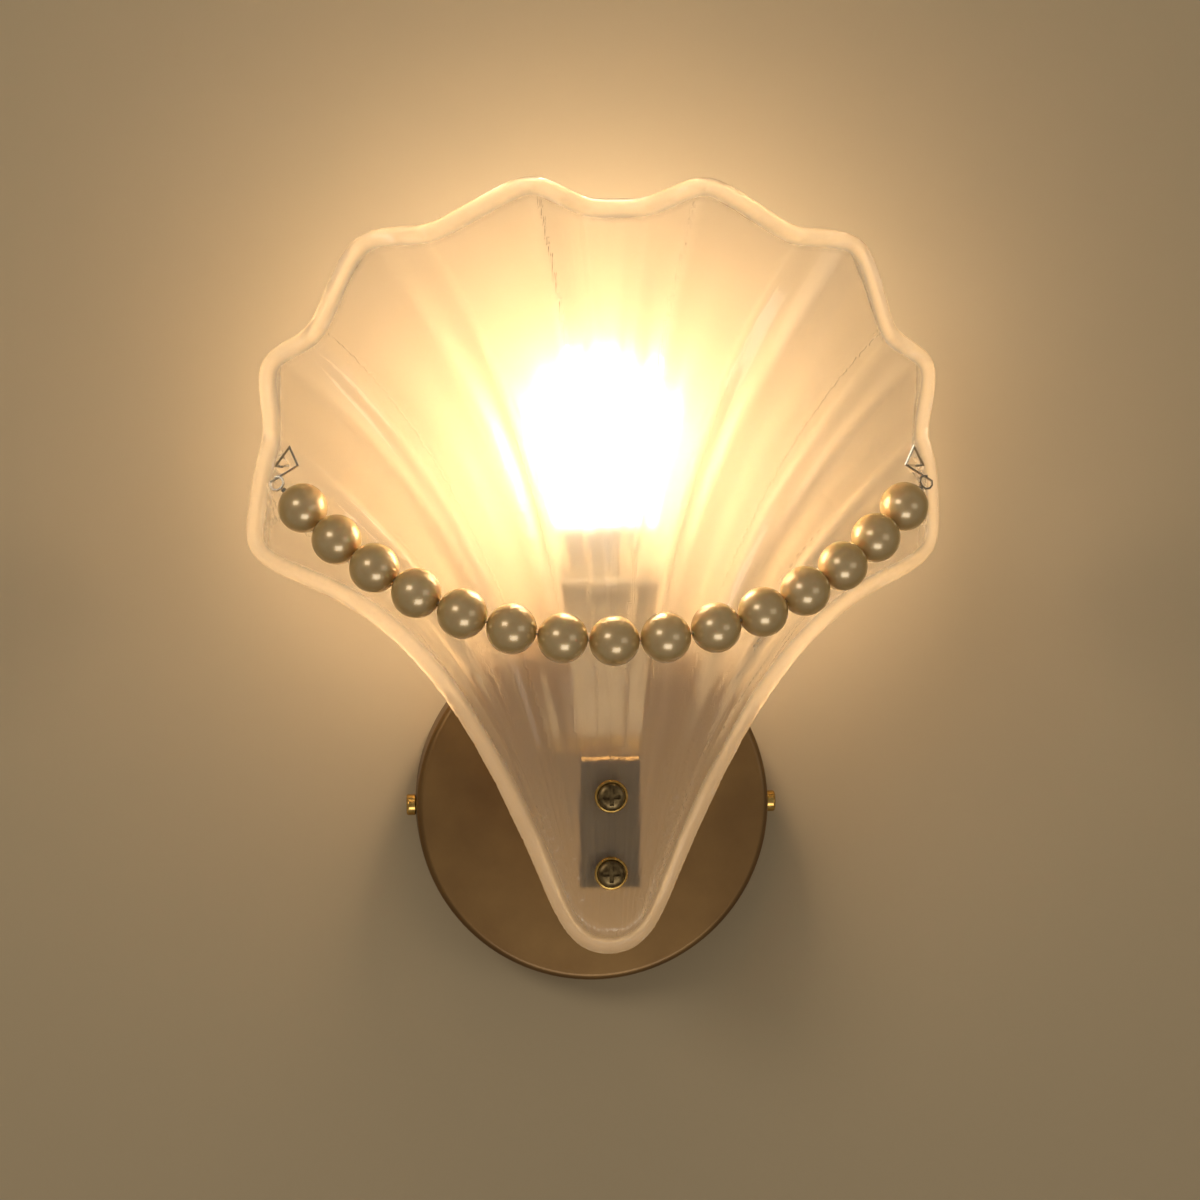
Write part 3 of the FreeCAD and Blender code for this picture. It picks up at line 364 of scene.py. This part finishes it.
# %% Lathe
def spun(work, profile, matrix, steps=64, closed=False):
    """Adds a spun profile of (radius, height) in mm to a bmesh."""
    dots = [work.verts.new(Vector((r * MM, 0, h * MM))) for r, h in profile]
    edges = [work.edges.new(pair) for pair in zip(dots, dots[1:])]
    if closed:
        edges.append(work.edges.new((dots[-1], dots[0])))
    bmesh.ops.spin(
        work, geom=dots + edges, cent=(0, 0, 0), axis=(0, 0, 1), angle=FULL_TURN, steps=steps, use_merge=True,
    )
    fresh = set(dots)
    stack = list(dots)
    while stack:
        for link in stack.pop().link_edges:
            for vert in link.verts:
                if vert not in fresh:
                    fresh.add(vert)
                    stack.append(vert)
    bmesh.ops.transform(work, matrix=matrix, verts=list(fresh))


def at(x, y, z, way=(0, 0, 1)):
    """Place for a turned piece: its foot in mm and the way its axis points."""
    turn = Vector((0, 0, 1)).rotation_difference(Vector(way)).to_matrix().to_4x4()
    return Matrix.Translation(Vector((x, y, z)) * MM) @ turn


def arc(cx, cy, radius, start, end, steps):
    """Points of an arc in a profile, angles in degrees."""
    turns = [math.radians(start + (end - start) * i / steps) for i in range(steps + 1)]
    return [(cx + radius * math.cos(t), cy + radius * math.sin(t)) for t in turns]


# %% [markdown]
# ## The glass shell
# Cast glass has no hard edges: the mould's flutes melt into each other, and
# the edge is polished in a flame until it draws up into a soft bead. To lay
# that bead where it belongs, rays along Y feel for the outline of the CAD
# solid as seen from the front, and a round curve follows it inside the edge.

# %% Feeling for the outline
solid = bmesh.new()
solid.from_mesh(frame["nodes"]["glass_shell"].data)
bmesh.ops.remove_doubles(solid, verts=solid.verts, dist=0.00001)
feeler = BVHTree.FromBMesh(solid)
MIDDLE_Z = 0.08
OUTLINE_POINTS = 540


def glass_at(x, z):
    """Place and normal of the glass's front at (x, z), or None beside it."""
    place, normal, _, _ = feeler.ray_cast(Vector((x, -0.3, z)), Vector((0, 1, 0)))
    return (place, normal) if place else None


def outline_at(turn):
    """Outermost (x, z) of the glass in a direction from its middle."""
    reach = 0.17
    while not glass_at(reach * math.cos(turn), MIDDLE_Z + reach * math.sin(turn)):
        reach -= 0.0002
    return Vector((reach * math.cos(turn), MIDDLE_Z + reach * math.sin(turn)))


def evened(points, passes):
    """A closed path with each point drawn towards its neighbours."""
    for _ in range(passes):
        points = [(points[i - 1] + points[i] * 2 + points[(i + 1) % len(points)]) / 4 for i in range(len(points))]
    return points


def inside_of(path, i, depth):
    """Point of a closed (x, z) path moved into the area that it goes round."""
    along = (path[(i + 1) % len(path)] - path[i - 1]).normalized()
    return path[i] + Vector((-along.y, along.x)) * depth


edge = evened([outline_at(FULL_TURN * i / OUTLINE_POINTS) for i in range(OUTLINE_POINTS)], 12)
# Evening draws the lobes in, so the outline goes out again by 0.6 mm.
edge = [inside_of(edge, i, -0.0006) for i in range(len(edge))]
print("outline of", len(edge), "points")

# %% Path of the rim bead
BEAD_RADIUS = 0.0027
BEAD_INSET = 0.0026
HALF_GLASS = 0.00225
bead_path = []
for i in range(len(edge)):
    depth = BEAD_INSET
    while not glass_at(*inside_of(edge, i, depth)):
        depth += 0.0004
    place, normal = glass_at(*inside_of(edge, i, depth))
    x, z = inside_of(edge, i, BEAD_INSET)
    bead_path.append(Vector((x, place.y - normal.y * HALF_GLASS, z)))
bead_path = evened(bead_path, 5)
bead_length = sum((bead_path[i] - bead_path[i - 1]).length for i in range(len(bead_path)))
print("rim bead", round(bead_length, 3), "m long")

# %% [markdown]
# The flutes need a count that runs across the shell, so that mould lines and
# ridges can follow them. The creases between them are smooth curves that fan
# out from the tip, and a search tree finds how far a point is from each.

# %% Counting the flutes
# Creases between the flutes on the right half, as cubic curves in mm.
CREASES = [
    ((0.6, -32.5), (0.6, 60.0), (1.5, 120.0), (10.3, 194.0)),
    ((5.0, -31.8), (10.0, 40.0), (14.0, 130.0), (58.3, 186.3)),
    ((8.8, -29.5), (24.0, 40.0), (34.0, 102.0), (93.0, 156.6)),
    ((11.3, -26.5), (28.0, 34.0), (54.0, 92.0), (106.3, 125.3)),
    ((13.5, -21.5), (30.0, 30.0), (55.0, 85.0), (110.0, 88.5)),
    ((21.0, -18.5), (40.0, 22.0), (62.0, 72.0), (107.0, 79.5)),
]
CREASE_POINTS = 600


def on_curve(line, t):
    """Point (x, z) in metres on a cubic crease at a share t of its length."""
    u = 1 - t
    weights = (u ** 3, 3 * u * u * t, 3 * u * t * t, t ** 3)
    return [sum(w * p[i] for w, p in zip(weights, line)) * MM for i in (0, 1)]


def finder(points):
    """Function that gives the distance from (x, z) to the nearest of the points."""
    tree = KDTree(len(points))
    for i, (x, z) in enumerate(points):
        tree.insert((x, 0, z), i)
    tree.balance()
    return lambda x, z: tree.find((x, 0, z))[2]


to_edge = finder(edge)
to_creases = [
    finder([on_curve(line, i / CREASE_POINTS) for i in range(CREASE_POINTS + 1)]) for line in CREASES
]


def flute_number(x, z):
    """Count of flutes from the middle: 0.5, 1.5 and so on at the creases."""
    reach = [to_creases[0](-abs(x), z)] + [find(abs(x), z) for find in to_creases] + [to_edge(x, z)]
    near = min(range(len(reach) - 1), key=lambda i: reach[i] + reach[i + 1])
    count = near + reach[near] / max(1e-6, reach[near] + reach[near + 1])
    return math.copysign(count - 0.5, x)


# %% [markdown]
# The CAD solid and the bead are then rebuilt together in even voxels of about
# 1.2 mm and relaxed a little. That rounds the strips of each flute and leaves
# the ridges between them. The holes for the screws and the hooks stay open.

# %% Bead, sheet and die
curve = bpy.data.curves.new("rim_bead", "CURVE")
curve.dimensions = "3D"
spline = curve.splines.new("POLY")
spline.points.add(len(bead_path) - 1)
for dot, spot in zip(spline.points, bead_path):
    dot.co = (*spot, 1)
spline.use_cyclic_u = True
curve.bevel_depth = BEAD_RADIUS
curve.bevel_resolution = 3
bead_mesh = baked(placed("rim_bead", curve))
sheet = mesh_of(solid, "sheet")

# A die with the even outline trims the corners of the CAD's straight strips.
work = bmesh.new()
rim = [work.verts.new((x, -0.25, z)) for x, z in (inside_of(edge, i, 0.0008) for i in range(len(edge)))]
pushed = bmesh.ops.extrude_face_region(work, geom=[work.faces.new(rim)])["geom"]
far_verts = [item for item in pushed if isinstance(item, bmesh.types.BMVert)]
bmesh.ops.translate(work, vec=(0, 0.3, 0), verts=far_verts)
die = placed("die", done(work, "die", smooth=False))
glass = placed("sheet", sheet)
trim = glass.modifiers.new("trim", "BOOLEAN")
trim.object = die
trim.operation = "INTERSECT"
trimmed = baked(glass)
bpy.data.objects.remove(die)
print("sheet", len(sheet.polygons), "faces, trimmed", len(trimmed.polygons))

# %% Sheet and bead in one
work = bmesh.new()
work.from_mesh(trimmed)
work.from_mesh(bead_mesh)
glass = placed("shell_and_bead", mesh_of(work, "shell_and_bead"))
remesh = glass.modifiers.new("voxels", "REMESH")
remesh.mode = "VOXEL"
remesh.voxel_size = 0.00122
relax = glass.modifiers.new("relax", "SMOOTH")
relax.factor = 0.5
relax.iterations = 3
mesh = baked(glass)


def rubbed(mesh, chosen, passes):
    """Smooths the vertices that a test picks, and tells how many they are."""
    work = bmesh.new()
    work.from_mesh(mesh)
    verts = [vert for vert in work.verts if chosen(vert)]
    for _ in range(passes):
        bmesh.ops.smooth_vert(work, verts=verts, factor=0.5, use_axis_x=True, use_axis_y=True, use_axis_z=True)
    work.to_mesh(mesh)
    work.free()
    return len(verts)


lip = rubbed(mesh, lambda vert: vert.normal.y > 0.05 and to_edge(vert.co.x, vert.co.z) < 0.005, 12)
mesh.polygons.foreach_set("use_smooth", [True] * len(mesh.polygons))
print("evened", lip, "points of the back lip")

# %% [markdown]
# The glass's material reads four numbers at each point of the mesh: how far it
# is on the etched back, the way in from the edge, the count of the flutes and
# a painted glow, which stands in for the bulb's light piped in the sheet and is
# weaker higher up on the sheet and stronger higher up on the bead. Over the tab
# behind the screws the painted glow is left off, as painted shade. The loop that
# works them out also raises the flutes in the neck, where the solid has only a
# smooth sheet.


# %% Marks on the glass
def rise(value, start, end):
    """Share that goes from 0 at start to 1 at end and stays level beyond them."""
    return min(1.0, max(0.0, (value - start) / (end - start)))


TAB_HALF_WIDTH = 0.0095
TAB_FOOT, TAB_TOP = -0.0188, 0.0243
LAST_FLUTE = 4.5
FLUTE_HEIGHT = 0.0009
marks = {"etched": [], "from_edge": [], "flute": [], "painted_glow_level": []}
moved = []
for vert in mesh.vertices:
    x, y, z = vert.co
    centimetres_in = to_edge(x, z) / 0.01
    count = flute_number(x, z)
    etched = rise(vert.normal.y, -1 / 3, 1 / 3)
    high = rise(z, -0.04, 0.08)
    at_bead = rise(centimetres_in, 0.62, 0.42)
    # Painted glow and shade: the glow on the etched back fades higher up and is left off over the tab as its
    # painted shade; on the bead it grows higher up.
    over_tab = abs(x) < TAB_HALF_WIDTH and TAB_FOOT < z < TAB_TOP
    painted_sheet_glow = 0.0 if over_tab else (0.2 - 0.16 * high) * etched
    marks["etched"].append(etched)
    marks["from_edge"].append(min(1.0, centimetres_in))
    marks["flute"].append(count)
    marks["painted_glow_level"].append(painted_sheet_glow + at_bead * (0.04 + 0.14 * high))
    # Above the screws the four flutes on each side stand 0.9 mm proud of the
    # neck, and fade out where the solid's own flutes have grown.
    share = rise(z, 0.0175, 0.03) * rise(z, 0.12, 0.06) * (vert.normal.y < -0.3)
    on_flute = 0.5 < abs(count) < LAST_FLUTE
    crest = 0.5 - 0.5 * math.cos(FULL_TURN * (abs(count) - 0.5)) if on_flute else 0.0
    moved.append(vert.co + vert.normal * share * crest * FLUTE_HEIGHT)
for name, values in marks.items():
    mesh.attributes.new(name, "FLOAT", "POINT").data.foreach_set("value", values)
for vert, place in zip(mesh.vertices, moved):
    vert.co = place
rubbed(mesh, lambda vert: vert.normal.y < -0.2 and vert.co.z < 0.13, 1)
piece("shell_glass_smooth", mesh, "fixture", frosted, "frosted_glass", "glass_shell")

# %% [markdown]
# ## Pearls
# Each pearl is a bead with a hole along the strand. A round bead with a small
# dimple at both ends is a spun half circle that stops short of the axis and
# turns into the bore. The beads' places come from the CAD node, whose solids
# are told apart by walking along their edges.


# %% Pearl beads
def solid_centres(node):
    """Centres of the boxes of a CAD node's separate solids, from left to right."""
    work = bmesh.new()
    work.from_mesh(frame["nodes"][node].data)
    bmesh.ops.remove_doubles(work, verts=work.verts, dist=0.000005)
    left = set(work.verts)
    found = []
    while left:
        stack = [left.pop()]
        spots = []
        while stack:
            vert = stack.pop()
            spots.append(vert.co.copy())
            for link in vert.link_edges:
                other = link.other_vert(vert)
                if other in left:
                    left.discard(other)
                    stack.append(other)
        low = Vector([min(spot[i] for spot in spots) for i in range(3)])
        high = Vector([max(spot[i] for spot in spots) for i in range(3)])
        found.append((low + high) / 2)
    work.free()
    return sorted(found, key=lambda centre: centre.x)


beads = solid_centres("pearls")
print("pearls", len(beads))
profile = [(0.55, -7.6), (0.8, -7.86)] + arc(0, 0, 8.0, -82.0, 82.0, 28) + [(0.8, 7.86), (0.55, 7.6)]
work = bmesh.new()
for index, centre in enumerate(beads):
    before = beads[max(index - 1, 0)]
    after = beads[min(index + 1, len(beads) - 1)]
    spun(work, profile, at(*(centre / MM), way=(after - before).normalized()), 40, closed=True)
piece("pearl_beads", done(work, "pearl_beads"), "pearl_strand", pearl, "pearl", "pearls")

# %% [markdown]
# ## Thread and lead
# A cord is a curve with a round section. The thread runs through the pearls from
# hook to hook. The lead goes straight out of the canopy's bush and turns up into
# the lampholder.

# %% Cords
THREAD_ROUTE = [
    (-0.1038, -0.0608, 0.1090), (-0.0921, -0.0690, 0.0982), (-0.0811, -0.0764, 0.0886),
    (-0.0687, -0.0831, 0.0804), (-0.0550, -0.0887, 0.0734), (-0.0402, -0.0926, 0.0678),
    (-0.0244, -0.0946, 0.0640), (-0.0082, -0.0948, 0.0620), (0.0082, -0.0948, 0.0620),
    (0.0244, -0.0946, 0.0640), (0.0402, -0.0926, 0.0678), (0.0550, -0.0887, 0.0734),
    (0.0687, -0.0831, 0.0804), (0.0811, -0.0764, 0.0886), (0.0921, -0.0690, 0.0982),
    (0.1038, -0.0608, 0.1090),
]
LEAD_ROUTE = [(0.0, -0.0133, 0.0), (0.0, -0.041, 0.0), (0.0, -0.050, 0.009), (0.0, -0.050, 0.029)]


def line_cord(name, route, radius, body, material, slot, node, exit_point, length, **facts):
    """A round cord along a route."""
    curve = bpy.data.curves.new(name, "CURVE")
    curve.dimensions = "3D"
    spline = curve.splines.new("NURBS")
    spline.points.add(len(route) - 1)
    for dot, spot in zip(spline.points, route):
        dot.co = (*spot, 1)
    spline.order_u = 3
    spline.use_endpoint_u = True
    spline.resolution_u = 8
    curve.bevel_depth = radius
    curve.bevel_resolution = 3
    curve.use_fill_caps = True
    curve.materials.append(material)
    made = placed(name, curve)
    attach(made, body)
    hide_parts(node)
    print(name, length, "m long")


line_cord(
    "strand_thread", THREAD_ROUTE, 0.0004, "pearl_strand", thread_skin, "thread_fabric", "pearl_thread",
    THREAD_ROUTE[0], 0.248, stiffness="limp", lay="hanging",
)
line_cord(
    "lamp_lead", LEAD_ROUTE, 0.0014, "fixture", cord_skin, "cord_plastic", "lamp_cord",
    LEAD_ROUTE[0], 0.060, stiffness="medium", lay="taut",
)

# %% [markdown]
# ## The bulb
# The globe is opal glass blown in one smooth slope from its neck. The neck is
# a white plastic skirt, and the screw cap below has a rolled thread with a
# pitch of 2.8 mm, drawn here as rings because the holder hides it.

# %% Bulb
LAMP_Y = -50
lamp = at(0, LAMP_Y, 0)
work = bmesh.new()
spun(work, [(0, 98.2), (13.3, 98.2)] + arc(0, 130, 22.5, -40, 90, 26), lamp)
piece("globe_smooth", done(work, "globe_smooth"), "bulb", opal, "opal_glass", "bulb_globe")

work = bmesh.new()
neck = [
    (0, 83.2), (6.9, 83.2), (6.9, 84.5), (8.6, 84.5), (9.0, 85.0), (9.6, 87.5), (11.3, 92.0),
    (13.2, 96.8), (13.5, 98.0), (0, 98.0),
]
spun(work, neck, lamp)
sharp(piece("bulb_neck", done(work, "bulb_neck"), "bulb", white_plastic, "white_plastic", "bulb_housing"))

THREAD_PITCH = 2.8
work = bmesh.new()
thread = [(0, 57.2), (4.5, 57.2), (6.2, 59.0)]
for ring in range(7):
    foot = 60.5 + THREAD_PITCH * ring
    thread += [(6.2, foot), (6.75, foot + 0.7), (6.9, foot + 1.1), (6.75, foot + 1.5), (6.2, foot + 2.2)]
thread += [(6.7, 81.0), (6.7, 83.1), (0, 83.1)]
spun(work, thread, lamp, 56)
sharp(piece("screw_cap", done(work, "screw_cap"), "bulb", cap_metal, "bulb_cap_metal", "bulb_cap"))

# %% [markdown]
# ## The lampholder
# A threaded plastic holder has a ribbed ring near its top, so that fingers can
# turn it. The ring's grip is a row of teeth round the rim: of its small outer
# faces about every second one is inset and pushed out.

# %% Holder ring
RING_STEPS = 96
RIM_RADIUS = 0.01655
ring = [(14.1, 75.0), (16.0, 75.0), (16.6, 75.6), (16.6, 79.4), (16.0, 80.0), (14.1, 80.0)]
work = bmesh.new()
spun(work, ring, lamp, RING_STEPS, closed=True)
bmesh.ops.recalc_face_normals(work, faces=work.faces)
teeth = []
for face in work.faces:
    spot = face.calc_center_median()
    x, y = spot.x, spot.y - LAMP_Y * MM
    step = round(math.degrees(math.atan2(y, x)) / (360 / RING_STEPS))
    if math.hypot(x, y) > RIM_RADIUS and step % 2 == 0:
        teeth.append(face)
bmesh.ops.inset_individual(work, faces=teeth, thickness=0.00012, depth=0.00035)
sharp(piece(
    "holder_grip_ring", done(work, "holder_grip_ring"), "fixture", cream_plastic, "cream_plastic", "holder_ring",
))

# %% Holder body and skirt
barrel = [
    (0, 45.3), (13.6, 45.3), (14.0, 45.7), (14.0, 83.4), (13.4, 84.0), (8.6, 84.0), (8.1, 83.5),
    (8.1, 53.3), (0, 53.3),
]
base = [
    (5.05, 25.3), (12.9, 25.3), (13.5, 25.9), (13.5, 44.7), (13.0, 45.25), (9.5, 45.25), (9.5, 32.0),
    (5.05, 32.0),
]
skirt = [(5.05, 24.0), (14.9, 24.0)] + arc(14.9, 24.6, 0.6, -90, 0, 4)
skirt += [(15.5, 29.0), (14.5, 29.0), (14.5, 25.2), (5.05, 25.2)]
for name, profile, closed, material, slot, node in (
    ("holder_barrel_turned", barrel, False, cream_plastic, "cream_plastic", "holder_barrel"),
    ("holder_base_turned", base, True, cream_plastic, "cream_plastic", "holder_base"),
    ("holder_skirt", skirt, True, brass, "gold_brass", "holder_cup"),
):
    work = bmesh.new()
    spun(work, profile, lamp, 72, closed=closed)
    sharp(piece(name, done(work, name), "fixture", material, slot, node))

# %% [markdown]
# ## The canopy
# The canopy is pressed from sheet steel and spun over at the edge, so its
# front edge is a soft quarter round that catches a thin line of light.

# %% Canopy
wall_way = (0, -1, 0)
outside = [(60.0, 0.0)] + arc(57.6, 15.6, 2.4, 0, 90, 8) + [(4.1, 18.0)]
inside = [(4.1, 16.8)] + arc(56.8, 14.8, 2.0, 90, 0, 6) + [(58.8, 0.0)]
work = bmesh.new()
spun(work, outside + inside, at(0, 0, 0, way=wall_way), 128, closed=True)
sharp(piece("canopy_spun", done(work, "canopy_spun"), "fixture", bronze, "bronze_metal", "wall_canopy"), 40)

# %% Side knobs
knob = [(0, -10.0), (1.7, -10.0), (2.0, -9.6), (2.0, 0.1), (3.1, 0.1), (3.6, 0.5), (3.6, 2.3)]
knob += arc(2.8, 2.5, 0.8, 0, 70, 5) + [(1.6, 3.26), (0, 3.3)]
for side, node, body in ((-1, "side_screw_left", "left_screw"), (1, "side_screw_right", "right_screw")):
    work = bmesh.new()
    spun(work, knob, at(side * 60.0, -9.0, 0, way=(side, 0, 0)), 40)
    sharp(piece(node + "_turned", done(work, node), body, brass, "gold_brass", node), 50)

# %% [markdown]
# ## Screws in the glass
# Each screw has a low domed head with a cross recess and stands in a polished
# cup washer with a raised lip. The cross is cut with the boolean tool, as a
# punch would press it.

# %% Screw heads and cup washers
SCREW_HEIGHTS = (11.5, -13.2)
HEAD_Y = -84.5
WASHER_Y = -83.4
head = [(0, 14.9), (1.8, 14.9), (2.0, 14.6), (2.0, 0.0), (3.9, 0.0), (4.35, -0.3)]
head += [(4.3, -0.8), (3.9, -1.3), (2.8, -1.6), (1.4, -1.75), (0, -1.8)]
cup = [(2.2, 0.0), (5.0, 0.0), (5.3, 0.3), (5.3, 0.9), (5.0, 1.25), (4.6, 1.3), (4.4, 0.95), (2.2, 0.9)]
CROSS_ARMS = ((5.6, 2.6, 1.35), (1.35, 2.6, 5.6))


def crossed(z):
    """Mesh of a screw at height z whose head, facing -Y, has a cross recess."""
    work = bmesh.new()
    spun(work, head, at(0, HEAD_Y, z, way=(0, 1, 0)), 48)
    screw = placed("screw", done(work, "screw"))
    work = bmesh.new()
    for arm in CROSS_ARMS:
        cube = bmesh.ops.create_cube(work, size=1.0)["verts"]
        bmesh.ops.scale(work, vec=Vector(arm) * MM, verts=cube)
        bmesh.ops.translate(work, vec=Vector((0, HEAD_Y - 1.9, z)) * MM, verts=cube)
    punch = placed("punch", done(work, "punch", smooth=False))
    carve = screw.modifiers.new("cross", "BOOLEAN")
    carve.object = punch
    carve.operation = "DIFFERENCE"
    carve.use_self = True
    mesh = baked(screw)
    bpy.data.objects.remove(punch)
    return mesh


screws = bmesh.new()
cups = bmesh.new()
for height in SCREW_HEIGHTS:
    screws.from_mesh(crossed(height))
    spun(cups, cup, at(0, WASHER_Y, height, way=wall_way), 56, closed=True)
screw_mesh = done(screws, "cross_screws")
cup_mesh = done(cups, "cup_washers")
sharp(piece("cross_screws", screw_mesh, "fixture", tarnished, "bright_steel", "shell_screws"), 40)
sharp(piece("cup_washers", cup_mesh, "fixture", brass, "gold_brass", "shell_cup_washers"), 40)

# %% [markdown]
# ## The wall, the light and the camera
# The photograph was taken in a dim room with the bulb lit, so the wall is a
# pale warm plane with the bulb's own glow on it, and large soft lamps fill the
# shadows. The wall's back is clear, so that it hides nothing from behind. The
# camera has the photograph's long lens and looks slightly down and from the
# left.

# %% Wall
work = bmesh.new()
bmesh.ops.create_grid(work, x_segments=1, y_segments=1, size=2.5)
upright = Matrix.Rotation(math.radians(90), 3, "X")
bmesh.ops.rotate(work, cent=(0, 0, 0), matrix=upright, verts=work.verts)
bmesh.ops.translate(work, vec=(0, 0.0006, 0), verts=work.verts)
mesh = mesh_of(work, "wall")
wall_paint, tree, shader, points = finish_of("matt_wall_paint", "#C8B594", Roughness=0.85)
roll = add(tree, "ShaderNodeTexNoise", Vector=points, Scale=300.0, Detail=4.0)
relief = add(tree, "ShaderNodeBump", Strength=0.15, Distance=0.0002, Height=roll.outputs["Fac"])
plug(tree, shader, Normal=relief.outputs[0])
see_through = add(tree, "ShaderNodeBsdfTransparent").outputs[0]
behind = add(tree, "ShaderNodeNewGeometry").outputs["Backfacing"]
both = add(tree, "ShaderNodeMixShader", Fac=behind, i1=shader.outputs[0], i2=see_through)
plug(tree, tree.nodes["Material Output"], Surface=both.outputs[0])
backdrop = placed("wall", mesh)
mesh.materials.append(wall_paint)
backdrop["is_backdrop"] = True
print("wall normal", [round(v, 2) for v in mesh.polygons[0].normal])

# %% Light
world = bpy.data.worlds.new("room")
bpy.context.scene.world = world
world.use_nodes = True
plug(world.node_tree, world.node_tree.nodes["Background"], Color=linear("#EADFCB"), Strength=0.27)


def soft_lamp(name, place, target, width, power, color):
    """A soft oblong lamp that shines at a target."""
    light = bpy.data.lights.new(name, "AREA")
    light.shape = "RECTANGLE"
    light.size = width
    light.size_y = width * 0.7
    light.energy = power
    light.color = linear(color)[:3]
    made = placed(name, light)
    made.location = place
    made.rotation_euler = (Vector(target) - Vector(place)).to_track_quat("-Z", "Y").to_euler()
    return made


soft_lamp("window", (-1.1, -1.5, 0.9), (0, 0, 0.08), 0.8, 6.2, "#FFF4E4")
soft_lamp("fill", (1.3, -1.5, 0.2), (0, 0, 0.08), 1.0, 2.0, "#F4F1EA")
# A low doorway that only shows as a reflection, and lights nothing else.
doorway = soft_lamp("doorway", (0.12, -1.1, -0.75), (0, 0, 0.05), 0.75, 4.5, "#F4F1EA")
doorway.visible_diffuse = False

# %% Camera
lens = bpy.data.cameras.new("camera")
lens.sensor_width = 36.0
lens.lens = 92.66
camera = placed("camera", lens)
camera.location = (-0.0888, -1.058, 0.134)
camera.rotation_euler = (math.radians(86.5), 0, math.radians(-5.0))
bpy.context.scene.camera = camera
bpy.context.scene.view_settings.view_transform = "Standard"

low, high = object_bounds()
print("visual box", [round(v, 4) for v in (*low, *high)])
